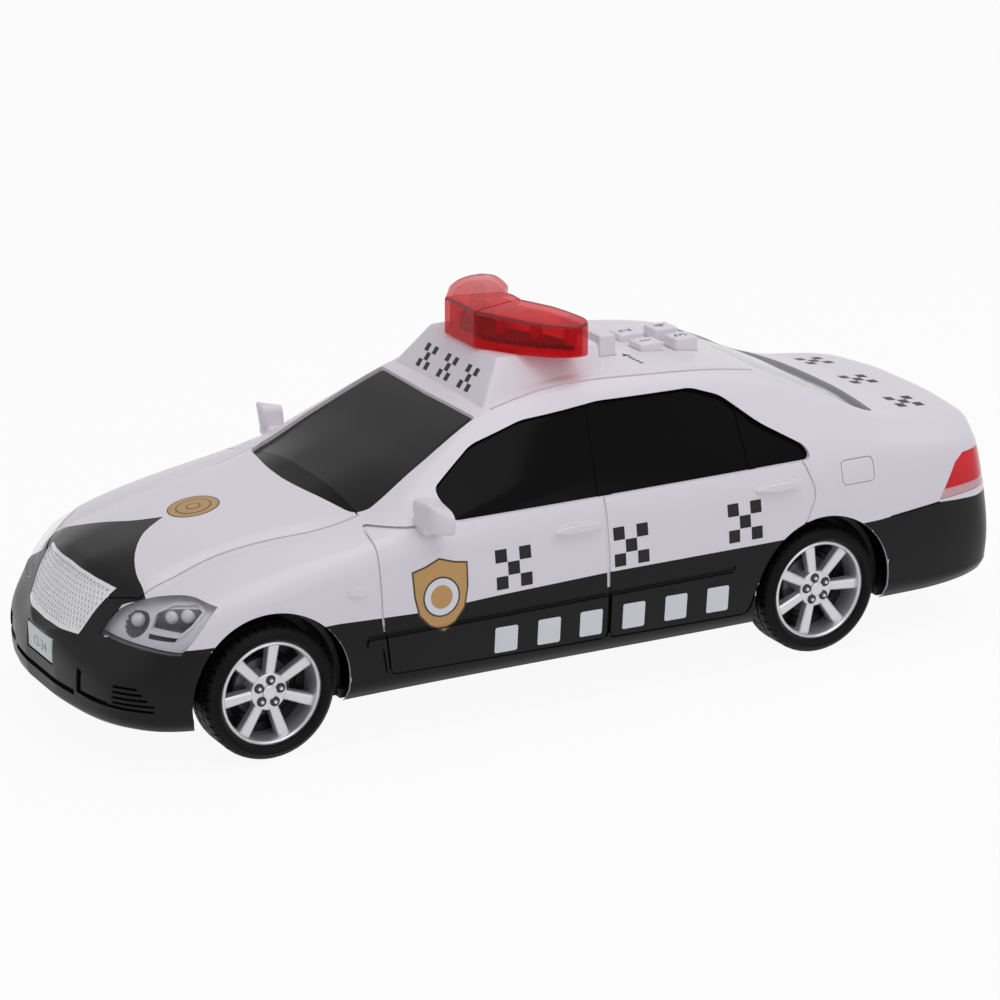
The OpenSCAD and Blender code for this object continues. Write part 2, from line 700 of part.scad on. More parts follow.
// The chassis
module wheel_spots() {
    for (x = [front_x, rear_x]) translate([x, 0, axle_z]) both_sides() children();
}
module wheel_well() {
    difference() {
        union() {
            translate([0, well_out + liner_w, 0]) rotate([90, 0, 0])
                cylinder(r = well_r + well_t, h = liner_w + bearing_t);
        }
        translate([0, far + well_out, 0]) rotate([90, 0, 0]) cylinder(r = well_r, h = far);
        translate([0, 0, -far - axle_z + floor_z]) box_at([far, far, far], [0, 0, 0]);
    }
}
module chassis() {
    color("dimgray") difference() {
        union() {
            difference() {
                translate([0, 0, floor_z]) linear_extrude(floor_t)
                    whole(plan_points(body_wall + floor_gap, floor_end_angles));
                wheel_spots() translate([-well_r, well_out, -axle_z]) cube([2 * well_r, far, 2 * axle_z]);
            }
            wheel_spots() wheel_well();
            box_at([box_l + 2 * box_t, box_w + 2 * box_t, box_h + box_t], [battery_x, 0, floor_top]);
            peg_at(cup_d + 2 * cup_t + 2 * door_gap, pillar_h, [door_screw_x, 0, floor_z]);
            peg_at(speaker_d + 2 * speaker_gap + 2 * ring_t, speaker_rim, [speaker_x, 0, floor_top]);
            both_sides() {
                for (s = body_screw_at) peg_at(boss_d + 2 * cup_t, boss_rise + floor_t, [s[0], s[1], floor_z]);
                for (k = [-1, 1]) {
                    peg_at(main_post_d, main_z - floor_top + floor_t / 2,
                        [main_x + k * (board_l / 2 - main_inset), board_w / 2 - main_inset, floor_top - floor_t / 2]);
                }
            }
        }
        for (x = [front_x, rear_x]) {
            translate([x, 0, axle_z]) rotate([90, 0, 0])
                cylinder(d = axle_d + 2 * axle_gap, h = 2 * (well_out + overrun), center = true);
        }
        box_at([box_l, box_w, box_h + floor_t + overrun], [battery_x, 0, floor_z - overrun]);
        box_at([box_l + 2 * ledge, box_w + 2 * ledge, door_t + overrun], [battery_x, 0, floor_z - overrun]);
        both_sides() {
            box_at([2 * tab_l + box_t + 2 * ledge, tab_w + 2 * door_gap, floor_t + door_gap + overrun],
                [battery_x - box_l / 2, tab_y, floor_z - overrun]);
        }
        peg_at(cup_d + 2 * door_gap, cup_h + rest_gap + overrun, [door_screw_x, 0, floor_z - overrun]);
        translate([battery_x, -cup_d / 2 - door_gap, floor_z - overrun])
            cube([door_screw_x - battery_x, cup_d + 2 * door_gap, door_t + overrun]);
        peg_at(screw_d + 2 * thread_gap, pillar_h, [door_screw_x, 0, floor_z + cup_h - overrun]);
        peg_at(speaker_d + 2 * speaker_gap, speaker_rim + overrun, [speaker_x, 0, floor_top]);
        for (i = [0 : slot_n - 1]) {
            box_at([slot_w, slot_l, floor_t + 2 * overrun],
                [speaker_x + (i - (slot_n - 1) / 2) * slot_pitch, 0, floor_z - overrun]);
        }
        both_sides() {
            for (s = body_screw_at) {
                peg_at(head_d + 2 * screw_gap, head_h + head_sink + overrun, [s[0], s[1], floor_z - overrun]);
                peg_at(screw_d + 2 * screw_gap, far, [s[0], s[1], floor_z]);
            }
            for (k = [-1, 1]) {
                peg_at(screw_d + 2 * thread_gap, far,
                    [main_x + k * (board_l / 2 - main_inset), board_w / 2 - main_inset, floor_top]);
            }
        }
    }
}

// Glass, lamps and trim
module window_insert() {
    color([.12, .11, .10]) moulded() {
        difference() {
            intersection() {
                inner_form(glass_out);
                translate([glass_x[1], -body_w / 2, glass_z]) cube([glass_x[0] - glass_x[1], body_w, body_h]);
            }
            inner_form(glass_out + glass_t);
            translate([post_x[1] - post_w, -post_y - post_w, glass_z])
                cube([pedestal_screw_at[0] + pad_d - post_x[1] + post_w, 2 * (post_y + post_w), body_h]);
        }
        both_sides() difference() {
            layer(pillar_depth, glass_out + glass_t) from_side(wheel_in / 2, body_w) intersection() {
                offset(delta = -trim_gap) outline(on_side(side_window_shares), window_r);
                union() {
                    polygon(on_side(front_pillar_shares));
                    polygon(on_side(rear_pillar_shares));
                }
            }
            inner_form(glass_out + glass_t);
        }
    }
}
module grille() {
    color("silver") moulded() {
        layer(recess - trim_t / 2, recess - rest_gap) from_front(body_l / 4, body_l)
            offset(delta = -trim_gap) whole_front(on_front(grille_shares));
        layer(recess - trim_t, recess - trim_t / 2 + rest_gap) from_front(body_l / 4, body_l) difference() {
            offset(delta = -trim_gap) whole_front(on_front(grille_shares));
            offset(delta = -rim_line - trim_gap) whole_front(on_front(grille_shares));
        }
    }
}
module front_plate() {
    color("honeydew") box_at([trim_t, plate_w, plate_h],
        [body_l / 2 - recess + rest_gap + trim_t / 2, 0, plate_z - plate_h / 2]);
}
module headlight_lens() {
    color("whitesmoke") moulded() layer(trim_gap, trim_gap + lens_t) along_lamp() headlight_outline();
}
module headlight_reflector() {
    back = trim_gap + lens_t + rest_gap;
    color("silver") moulded() difference() {
        layer(back, back + reflector_t) along_lamp() headlight_outline();
        rotate([0, 0, lamp_turn]) from_front(lamp_near + bowl_up, body_l / 2) for (s = bowl_shares) {
            translate([headlight_u + s[0] * headlight_l, headlight_z + s[1] * headlight_h])
                circle(d = bowl_d, $fn = screw_sides);
        }
    }
}
module tail_lamp() {
    color("red") moulded() layer(rest_gap, recess - rest_gap)
        from_side(tail_lamp_y + trim_gap, body_w) offset(delta = -trim_gap) polygon(on_side(tail_lamp_shares));
}
module mirror_body() {
    color("white") moulded() difference() {
        union() {
            intersection() {
                hull() {
                    for (k = [-1, 1], m = [-1, 1]) {
                        translate(mirror_at + [0, k * mirror_long / 2, m * mirror_high]) sphere(r = mirror_r, $fn = 14);
                    }
                }
                translate(mirror_at - [mirror_face, body_w / 2, body_h / 2]) cube([body_w, body_w, body_h]);
            }
            box_at(mirror_foot, mirror_at - [0, mirror_foot[1] / 2 + mirror_long / 2, mirror_foot[2]]);
            box_at([mirror_peg, mirror_in, mirror_peg], mirror_hole_at + [0, 0, trim_gap]);
        }
        difference() {
            body_form(-trim_gap);
            box_at(mirror_hole - [trim_gap, 0, trim_gap], mirror_hole_at + [0, 0, trim_gap / 2]);
        }
        inner_form(body_wall - 2 * trim_gap);
    }
}

// Light bar
module frustum(t) {
    x = pedestal_x;
    skin([
        for (r = [
            [pedestal_low - overrun * t, x[0], x[1], pedestal_foot],
            [pedestal_z - t, x[2], x[3], pedestal_top]
        ])
        [[r[2] + t, -r[3] + t, r[0]], [r[2] + t, r[3] - t, r[0]], [r[1] - t, r[3] - t, r[0]], [r[1] - t, -r[3] + t, r[0]]]
    ]);
}
module tray_pegs(grown) {
    both_sides() box_at([peg_w + 2 * grown, peg_w + 2 * grown, peg_l + tray_t / 2], [0, peg_y, pedestal_z - peg_l]);
}
module lightbar_pedestal() {
    color("white") moulded() difference() {
        union() {
            difference() {
                frustum(0);
                frustum(pedestal_t);
            }
            intersection() {
                frustum(pedestal_t / 2);
                both_sides() box_at([boss_d, boss_d, far], [pedestal_screw_at[0], pedestal_screw_at[1], pedestal_low]);
            }
        }
        body_form(-trim_gap);
        both_sides() translate([pedestal_screw_at[0], pedestal_screw_at[1], pad_z]) pilot(grip_l + body_wall + overrun);
        tray_pegs(trim_gap);
    }
}
bar_points =
    let(
        half = [for (s = bar_shares) [bar_x - s[0] * bar_l, s[1] * bar_w / 2]],
        bent = concat([half[0]], rounded(half, bar_round_shares, bar_round_steps), [half[len(half) - 1]])
    )
    concat(bent, [for (i = [len(bent) - 2 : -1 : 1]) [bent[i][0], -bent[i][1]]]);
function bar_top(p) = pedestal_z + bar_h - bar_tip_drop * abs(p[1]) / (bar_w / 2);
function toward(p, c, d) = p + (c - p) * d / norm(c - p);
module bar_form(inset) {
    points = bar_points;
    k = bar_spine_shares;
    spine = [for (p = points) [bar_x - bar_l * (k[0] + k[1] * abs(p[1]) / (bar_w / 2)), p[1] * k[2]]];
    low = pedestal_z + rest_gap - (inset > 0 ? overrun : 0);
    n = len(points);
    skin([
        [for (i = [n - 1 : -1 : 0]) concat(toward(points[i], spine[i], inset), low)],
        [for (i = [n - 1 : -1 : 0]) concat(toward(points[i], spine[i], inset), bar_top(points[i]) - bar_bevel - inset)],
        [for (i = [n - 1 : -1 : 0]) concat(toward(points[i], spine[i], inset + bar_bevel), bar_top(points[i]) - inset)]
    ]);
}
module lightbar_lens() {
    color([.8, .05, .05]) moulded() difference() {
        bar_form(0);
        bar_form(bar_wall);
    }
}
module bar_flat(inset) {
    offset(delta = -inset) polygon(bar_points);
}
module lightbar_tray() {
    color("firebrick") {
        translate([0, 0, pedestal_z]) linear_extrude(tray_t) bar_flat(bar_wall + trim_gap * 2);
        tray_pegs(0);
    }
}
module lightbar_board() {
    color("darkgreen") translate([0, 0, pedestal_z + tray_t]) linear_extrude(board_t)
        bar_flat(bar_wall + bar_board_inset);
}
module lightbar_leds() {
    color("pink") both_sides() for (s = led_shares) {
        translate([bar_x - s[0] * bar_l, s[1] * bar_w / 2, pedestal_z + tray_t + board_t]) rotate_extrude()
            polygon([for (q = led_profile_shares) [q[0] * led_d / 2, q[1] * led_h]]);
    }
}
module lightbar_screws() {
    color("gray") both_sides() translate([pedestal_screw_at[0], pedestal_screw_at[1], pad_z]) screw(grip_l + body_wall);
}

// Keys and the board under the roof
module key(at, l, w, top) {
    box_at([l, w, top - seat_z - key_bevel], [at[0], at[1], seat_z]);
    hull() {
        box_at([l, w, rest_gap], [at[0], at[1], top - key_bevel - rest_gap]);
        box_at([l - 2 * key_bevel, w - 2 * key_bevel, rest_gap], [at[0], at[1], top - rest_gap]);
    }
    box_at([l + 2 * (key_gap + flange_w), w + 2 * (key_gap + flange_w), flange_t], [at[0], at[1], seat_z - flange_t]);
    box_at([stem_w, stem_w, stem_l], [at[0], at[1], seat_z - flange_t - stem_l]);
}
module number_key(i) {
    color("white") key(key_spots[i], key_l, key_w, body_h + key_rise);
}
module key_1() {
    number_key(0);
}
module key_2() {
    number_key(1);
}
module key_3() {
    number_key(2);
}
module key_4() {
    number_key(3);
}
module siren_key() {
    color("white") key([siren_x, 0], siren_l, siren_w, body_h + siren_rise);
}
module switch_board() {
    color("darkgreen") difference() {
        translate([post_x[1] - board_edge, -post_y - board_edge, board_top - board_t])
            cube([post_x[0] - post_x[1] + 2 * board_edge, 2 * (post_y + board_edge), board_t]);
        both_sides() for (x = post_x) {
            peg_at(screw_d + 2 * screw_gap, board_t + 2 * overrun, [x, post_y, board_top - board_t - overrun]);
        }
    }
}
module tact_switches() {
    color("dimgray") for (s = concat([[siren_x, 0]], key_spots)) {
        box_at([tact_w, tact_w, tact_h], [s[0], s[1], board_top]);
        peg_at(plunger_d, plunger_h + tact_h / 2, [s[0], s[1], board_top + tact_h / 2]);
    }
}
module switch_board_screws() {
    color("gray") both_sides() for (x = post_x) {
        translate([x, post_y, board_top - board_t]) screw(grip_l - overrun);
    }
}

// Sound unit and battery
module main_board() {
    color("darkgreen") difference() {
        box_at([board_l, board_w, board_t], [main_x, 0, main_z]);
        both_sides() for (k = [-1, 1]) {
            peg_at(screw_d + 2 * screw_gap, board_t + 2 * overrun,
                [main_x + k * (board_l / 2 - main_inset), board_w / 2 - main_inset, main_z - overrun]);
        }
    }
}
module board_chips() {
    color("black") {
        peg_at(chip_d, chip_h, [main_x, 0, main_z + board_t]);
        both_sides() box_at(part_size, [main_x - part_spot[0], part_spot[1], main_z + board_t]);
    }
}
module main_board_screws() {
    color("gray") both_sides() for (k = [-1, 1]) {
        translate([main_x + k * (board_l / 2 - main_inset), board_w / 2 - main_inset, main_z + board_t])
            mirror([0, 0, 1]) screw(main_z + board_t - floor_top - overrun);
    }
}
module speaker() {
    r = speaker_d / 2;
    color("dimgray") translate([speaker_x, 0, floor_top]) rotate_extrude() polygon([
        [0, speaker_rim / 2], [r * cone_d_share, 0], [r, 0], [r, speaker_rim / 2],
        [r * cone_d_share, speaker_h * cone_d_share], [r * magnet_d_share, speaker_h * cone_d_share],
        [r * magnet_d_share, speaker_h], [0, speaker_h]
    ]);
}
module battery_cells() {
    color("goldenrod") for (k = [-1, 1]) {
        translate([battery_x - k * cell_l / 2, k * (cell_d + cell_gap) / 2, floor_top + cell_gap + cell_d / 2])
            rotate([0, k * 90, 0]) {
                cylinder(d = cell_d, h = cell_l - tip_l);
                cylinder(d = tip_d, h = cell_l);
            }
    }
}
module battery_contacts() {
    color("silver") {
        z = floor_top + cell_gap;
        translate([battery_x + box_l / 2 - contact_t, -box_w / 2 + cell_gap, z])
            cube([contact_t, box_w - 2 * cell_gap, cell_d]);
        for (k = [-1, 1]) {
            translate([battery_x - box_l / 2, k * (cell_d + cell_gap) / 2 - cell_d / 2 + cell_gap, z])
                cube([contact_t, cell_d - 2 * cell_gap, cell_d]);
            for (m = [-1, 1]) {
                translate([battery_x + m * (box_l / 2 - contact_t / 2), k * (cell_d + cell_gap) / 2, z + cell_d / 2])
                    rotate([0, -m * 90, 0]) cylinder(d = contact_d, h = contact_bump + contact_t / 2);
            }
        }
    }
}
module battery_door() {
    color("dimgray") difference() {
        union() {
            box_at([box_l + 2 * ledge - 2 * door_gap, box_w + 2 * ledge - 2 * door_gap, door_t], [battery_x, 0, floor_z]);
            both_sides() {
                box_at([2 * tab_l + box_t + 2 * ledge - 2 * door_gap, tab_w, floor_t],
                    [battery_x - box_l / 2, tab_y, floor_z]);
            }
            peg_at(cup_d, cup_h, [door_screw_x, 0, floor_z]);
            translate([battery_x, -cup_d / 2, floor_z]) cube([door_screw_x - battery_x, cup_d, door_t]);
        }
        peg_at(head_d + 2 * screw_gap, head_h + head_sink + overrun, [door_screw_x, 0, floor_z - overrun]);
        peg_at(screw_d + 2 * screw_gap, far, [door_screw_x, 0, floor_z]);
    }
}
module battery_door_screw() {
    color("gray") translate([door_screw_x, 0, floor_z + head_h + head_sink]) screw(grip_l - overrun);
}
module body_screws() {
    color("gray") both_sides() for (s = body_screw_at) {
        translate([s[0], s[1], floor_z + head_h + head_sink]) screw(boss_z - floor_z - head_h - head_sink + grip_l);
    }
}

// Wheels
tyre_shares = [
    [0, .08], [.25, 0], [.62, 0], [1, .11], [1, .30], [.84, .30], [.84, .36], [1, .36], [1, .64], [.84, .64],
    [.84, .70], [1, .70], [1, .89], [.62, 1], [.25, 1], [0, .92]
];
rim_gap = 0.03;
barrel_t = 1.2;
barrel_shares = [.05, .92];
plate_shares = [.36, .48];
spoke_shares = [.60, .78];
face_share = .80;
face_d = 9;
nut_d = 1.4;
nut_ring = 5.6;
nut_h = 0.6;
cap_d = 3.2;
cap_h = 0.8;
hub_d = 6.6;
spoke_tip_share = 1.1;
module at_wheel(x, side) {
    translate([x, side * wheel_in, axle_z]) rotate([-side * 90, 0, 0]) children();
}
module tyre() {
    low = rim_d / 2 + rim_gap;
    color("black") rotate_extrude()
        polygon([for (s = tyre_shares) [low + s[0] * (tyre_d / 2 - low), s[1] * tyre_w]]);
}
module rim() {
    r = rim_d / 2;
    bore = axle_d / 2 + rim_gap;
    low = plate_shares[0] * tyre_w;
    top = plate_shares[1] * tyre_w;
    face = face_share * tyre_w;
    spoke_z = spoke_shares * tyre_w;
    color("silver") {
        rotate_extrude() polygon([
            [bore, -hub_reach], [hub_d / 2, -hub_reach], [hub_d / 2, low], [r - barrel_t, low],
            [r - barrel_t, barrel_shares[0] * tyre_w], [r, barrel_shares[0] * tyre_w], [r, barrel_shares[1] * tyre_w],
            [r - barrel_t, barrel_shares[1] * tyre_w], [r - barrel_t, top], [face_d / 2, top], [face_d / 2, face],
            [cap_d / 2, face], [cap_d / 2, face + cap_h], [0, face + cap_h], [0, top], [bore, top]
        ]);
        for (i = [0 : spoke_n - 1]) rotate([0, 0, i * 360 / spoke_n]) {
            translate([0, 0, spoke_z[0]]) linear_extrude(spoke_z[1] - spoke_z[0]) polygon([
                [face_d / 2 - barrel_t, -spoke_w / 2], [r - barrel_t / 2, -spoke_w / 2 * spoke_tip_share],
                [r - barrel_t / 2, spoke_w / 2 * spoke_tip_share], [face_d / 2 - barrel_t, spoke_w / 2]
            ]);
        }
        for (i = [0 : nut_n - 1]) rotate([0, 0, i * 360 / nut_n]) {
            peg_at(nut_d, 2 * nut_h, [nut_ring / 2, 0, face - nut_h]);
        }
    }
}
module axle(x) {
    half = wheel_in + plate_shares[1] * tyre_w - hub_gap;
    color("gray") translate([x, half, axle_z]) rotate([90, 0, 0]) cylinder(d = axle_d, h = 2 * half);
}

body_shell();
chassis();
window_insert();
grille();
front_plate();
headlight_lens();  // headlight_lens_left
mirror([0, 1, 0]) headlight_lens();  // headlight_lens_right
headlight_reflector();  // headlight_reflector_left
mirror([0, 1, 0]) headlight_reflector();  // headlight_reflector_right
tail_lamp();  // tail_lamp_left
mirror([0, 1, 0]) tail_lamp();  // tail_lamp_right
mirror_body();  // mirror_left
mirror([0, 1, 0]) mirror_body();  // mirror_right
lightbar_pedestal();
lightbar_tray();
lightbar_lens();
lightbar_board();
lightbar_leds();
lightbar_screws();
siren_key();
key_1();
key_2();
key_3();
key_4();
switch_board();
tact_switches();
switch_board_screws();
main_board();
board_chips();
main_board_screws();
speaker();
battery_cells();
battery_contacts();
battery_door();
battery_door_screw();
body_screws();
axle(front_x);  // front_axle
axle(rear_x);  // rear_axle
at_wheel(front_x, 1) tyre();  // tyre_front_left
at_wheel(front_x, -1) tyre();  // tyre_front_right
at_wheel(rear_x, 1) tyre();  // tyre_rear_left
at_wheel(rear_x, -1) tyre();  // tyre_rear_right
at_wheel(front_x, 1) rim();  // rim_front_left
at_wheel(front_x, -1) rim();  // rim_front_right
at_wheel(rear_x, 1) rim();  // rim_rear_left
at_wheel(rear_x, -1) rim();  // rim_rear_right
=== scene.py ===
# %% [markdown]
# # A toy police sedan with a siren light bar
# This lesson dresses a finished CAD assembly: a hollow plastic car body on a black floor plate, four
# wheels on two axles, a red light bar on the roof and five push keys. The CAD model stays the frame that
# everything is placed on. We rebuild the smooth mouldings at a finer pitch and give each surface its finish.

import json
import math

import bmesh
import bpy
import numpy as np
from mathutils import Matrix, Vector
from mathutils.bvhtree import BVHTree


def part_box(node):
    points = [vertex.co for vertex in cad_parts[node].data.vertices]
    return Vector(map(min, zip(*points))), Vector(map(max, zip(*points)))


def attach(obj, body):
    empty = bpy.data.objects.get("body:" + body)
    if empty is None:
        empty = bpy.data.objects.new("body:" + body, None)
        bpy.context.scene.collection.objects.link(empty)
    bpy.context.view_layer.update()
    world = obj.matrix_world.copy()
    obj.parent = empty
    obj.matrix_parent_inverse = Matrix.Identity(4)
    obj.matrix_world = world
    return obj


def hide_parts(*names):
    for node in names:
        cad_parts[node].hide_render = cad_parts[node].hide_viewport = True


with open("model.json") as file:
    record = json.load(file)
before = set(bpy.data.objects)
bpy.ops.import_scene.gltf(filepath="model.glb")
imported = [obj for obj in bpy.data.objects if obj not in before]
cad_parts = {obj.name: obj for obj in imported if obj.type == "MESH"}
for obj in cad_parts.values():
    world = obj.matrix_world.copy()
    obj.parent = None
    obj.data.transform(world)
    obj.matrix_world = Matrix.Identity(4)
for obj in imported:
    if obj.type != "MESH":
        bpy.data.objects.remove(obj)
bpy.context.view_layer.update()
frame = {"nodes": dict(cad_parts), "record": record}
MM = 0.001
scene = bpy.context.scene

# %% [markdown]
# The photograph was taken with a long lens from the front left, a little above the roof. A long lens keeps
# the far side almost as large as the near side, so the camera stands nearly a metre away.

# %% Camera
eye = Vector((408.8, 759.4, 319.5)) * MM
look_back = Vector((0.4496, 0.8367, 0.3128))
look_right = Vector((-0.8807, 0.4737, -0.0015))
look_up = look_back.cross(look_right)
lens = bpy.data.cameras.new("camera")
lens.lens = 138.74
lens.sensor_width = 36
lens.clip_end = 20
camera = bpy.data.objects.new("camera", lens)
turn = Matrix((look_right, look_up, look_back)).transposed().to_4x4()
camera.matrix_world = Matrix.Translation(eye) @ turn
scene.collection.objects.link(camera)
scene.camera = camera
scene.view_settings.view_transform = "Standard"
print("camera at", [round(v, 3) for v in eye])

# %% [markdown]
# Every finish below is a small sum written in Python. The class `Wire` wraps one output socket, so that
# `1 - mask` or `noise * 0.1 + 0.3` adds the Math nodes by itself; `Finish.node` makes any other node.

# %% Shader helpers


class Wire:
    """One output socket of a finish, which sums can be written with."""

    def __init__(self, finish, socket):
        self.finish, self.socket = finish, socket

    def sum(self, operation, a, b=0.0, clamp=False):
        return self.finish.node("Math", {"operation": operation, "use_clamp": clamp}, a, b)

    def __add__(self, other):
        return self.sum("ADD", self, other)

    def __sub__(self, other):
        return self.sum("SUBTRACT", self, other)

    def __rsub__(self, other):
        return self.sum("SUBTRACT", other, self)

    def __mul__(self, other):
        return self.sum("MULTIPLY", self, other)

    def __gt__(self, other):
        return self.sum("GREATER_THAN", self, other)

    def most(self, other):
        return self.sum("MAXIMUM", self, other)

    def step(self, low, high):
        return self.sum("DIVIDE", self - low, high - low, True)

    __radd__ = __add__
    __rmul__ = __mul__


class Finish:
    """A material round one Principled shader; its varying inputs are fed by wires."""

    def __init__(self, name, color, rough, **constants):
        self.material = bpy.data.materials.new(name)
        self.material.use_nodes = True
        self.tree = self.material.node_tree
        self.shader = self.tree.nodes["Principled BSDF"]
        self.feed(self.shader, "Base Color", (*color, 1))
        self.feed(self.shader, "Roughness", rough)
        for key, value in constants.items():
            self.feed(self.shader, key.replace("_", " ").title().replace("Ior", "IOR"), value)

    def feed(self, node, key, value):
        if isinstance(value, Wire):
            self.tree.links.new(value.socket, node.inputs[key])
        else:
            node.inputs[key].default_value = value

    def node(self, kind, settings=None, *values, out=0, **named):
        made = self.tree.nodes.new("ShaderNode" + kind)
        for key, value in (settings or {}).items():
            setattr(made, key, value)
        for i, value in enumerate(values):
            self.feed(made, i, value)
        for key, value in named.items():
            self.feed(made, key.replace("_", " ").title(), value)
        return Wire(self, made.outputs[out])

    def place(self):
        return self.node("TexCoord", out="Object")

    def axes(self):
        split = self.node("SeparateXYZ", None, self.place())
        return [Wire(self, split.socket.node.outputs[i]) for i in range(3)]

    def noise(self, scale, detail=2.0):
        return self.node("TexNoise", None, Vector=self.place(), Scale=scale, Detail=detail)

    def blend(self, mask, a, b):
        made = self.node("Mix", {"data_type": "RGBA"}, mask, out=2)
        for key, value in ((6, a), (7, b)):
            self.feed(made.socket.node, key, value if isinstance(value, Wire) else (*value, 1))
        return made

    def color(self, value):
        self.feed(self.shader, "Base Color", value)
        return self

    def rough(self, value):
        self.feed(self.shader, "Roughness", value)
        return self

    def mixed_with(self, other, amount):
        """Lays a second shader over a share of the surface."""
        mixed = self.node("MixShader", None, amount).socket.node
        self.tree.links.new(self.shader.outputs[0], mixed.inputs[1])
        self.tree.links.new(other.socket, mixed.inputs[2])
        self.tree.links.new(mixed.outputs[0], self.tree.nodes["Material Output"].inputs["Surface"])

    def see_through(self, tint, amount):
        """Lets light straight through, tinted, for a share of the surface."""
        self.mixed_with(self.node("BsdfTransparent", None, (*tint, 1)), amount)

    def bump(self, height, strength, distance):
        made = self.node("Bump", None, Strength=strength, Distance=distance, Height=height)
        self.feed(self.shader, "Normal", made)
        return self


def moulded(name, color, rough, shade=0.05, grain=900.0, depth=0.02, **constants):
    """A moulded or painted plastic: faint clouding of its colour and gloss over a very fine skin."""
    finish = Finish(name, color, rough, **constants)
    cloud = finish.noise(55, 3)
    finish.color(finish.blend(cloud, [c * (1 - shade) for c in color], [min(1, c * (1 + shade)) for c in color]))
    finish.rough(cloud * 0.1 + (rough - 0.05))
    finish.bump(finish.noise(grain), 0.25, depth * MM)
    return finish.material


print("shader helpers ready")

# %% [markdown]
# A product picture on white needs a pale floor, a bright surround and a few large soft lamps. The surround
# answers camera, mirror and glass rays with plain white, and the floor is lit to white where nothing stands
# on it, so the light on the toy itself can stay at a plain level.

# %% Studio
WHITE_RAYS = ("Is Glossy Ray", "Is Transmission Ray")
SKY_TINT, SKY_STRENGTH, FLOOR_WHITE = (0.93, 0.93, 1.0, 1), 0.31, 0.93
world = bpy.data.worlds.new("studio")
scene.world = world
world.use_nodes = True
sky = world.node_tree
sky_path = sky.nodes.new("ShaderNodeLightPath")
sky_seen = sky_path.outputs["Is Camera Ray"]
for ray in WHITE_RAYS:
    either = sky.nodes.new("ShaderNodeMath")
    either.operation = "MAXIMUM"
    sky.links.new(sky_seen, either.inputs[0])
    sky.links.new(sky_path.outputs[ray], either.inputs[1])
    sky_seen = either.outputs[0]
sky_plain = sky.nodes["Background"]
sky_plain.inputs["Color"].default_value = SKY_TINT
sky_plain.inputs["Strength"].default_value = SKY_STRENGTH
sky_white = sky.nodes.new("ShaderNodeBackground")
sky_white.inputs["Strength"].default_value = 1
sky_mix = sky.nodes.new("ShaderNodeMixShader")
for i, socket in enumerate((sky_seen, sky_plain.outputs[0], sky_white.outputs[0])):
    sky.links.new(socket, sky_mix.inputs[i])
sky.links.new(sky_mix.outputs[0], sky.nodes["World Output"].inputs["Surface"])


def softbox(name, place, aim, size, power):
    """A large soft lamp, in metres and watts, that looks at a place on the toy."""
    lamp = bpy.data.lights.new(name, "AREA")
    lamp.shape = "RECTANGLE"
    lamp.size, lamp.size_y = size
    lamp.energy = power
    holder = bpy.data.objects.new(name, lamp)
    holder.location = place
    holder.rotation_euler = (Vector(place) - Vector(aim)).to_track_quat("Z", "Y").to_euler()
    scene.collection.objects.link(holder)


softbox("top_light", (-0.1, 0.12, 0.75), (0, 0, 0.04), (0.9, 0.7), 2.85)
softbox("left_light", (-0.15, 0.9, 0.45), (0, 0, 0.03), (0.7, 0.5), 1.0)
softbox("front_light", (0.85, -0.1, 0.35), (0, 0, 0.03), (0.5, 0.5), 0.3)

floor_look = Finish("pale_floor", (0.92, 0.92, 0.93), 0.6)
floor_look.rough(floor_look.noise(30) * 0.1 + 0.55)
light_path = floor_look.node("LightPath")
seen = light_path
for ray in WHITE_RAYS:
    seen = seen.most(Wire(floor_look, light_path.socket.node.outputs[ray]))
floor_look.mixed_with(floor_look.node("Emission", None, (1, 1, 1, 1), 1.0), seen * FLOOR_WHITE)

floor_bm = bmesh.new()
bmesh.ops.create_grid(floor_bm, x_segments=1, y_segments=1, size=6)
bmesh.ops.translate(floor_bm, verts=floor_bm.verts, vec=(0, 0, -0.0002))
floor_mesh = bpy.data.meshes.new("floor")
floor_bm.to_mesh(floor_mesh)
floor_bm.free()
floor = bpy.data.objects.new("floor", floor_mesh)
floor_mesh.materials.append(floor_look.material)
scene.collection.objects.link(floor)
print("lamps and floor set")

# %% [markdown]
# The body is drawn as a draughtsman would: a few long lines run from the nose to the tail, and a section is
# strung between them at each station. The lines are the CAD model's own, as shares of the half length, the
# half width and the roof height, and here they are followed with many more stations, so that the highlights
# run without facets.

# %% Body lines
HALF_L, HALF_W, ROOF = 117.5, 44.5, 70.5
END_ANGLE = math.radians(4)
SILL_TUCK, CROWN_FLAT, PINCH = 0.955, 0.45, 0.2
CORNER_SHARES = (0.25, 0.5, 0.3, 0.24, 0.5)
CORNER_STEPS = (3, 10, 9, 9, 6)
STATIONS = 220
CREASE = ([-104, -94, -84, -75, -66, -58, -50], [25.4, 24.6, 24.2, 25.2, 27.0, 28.4, 30.0])
CREASE_W, CREASE_D = 2.5, 1.15


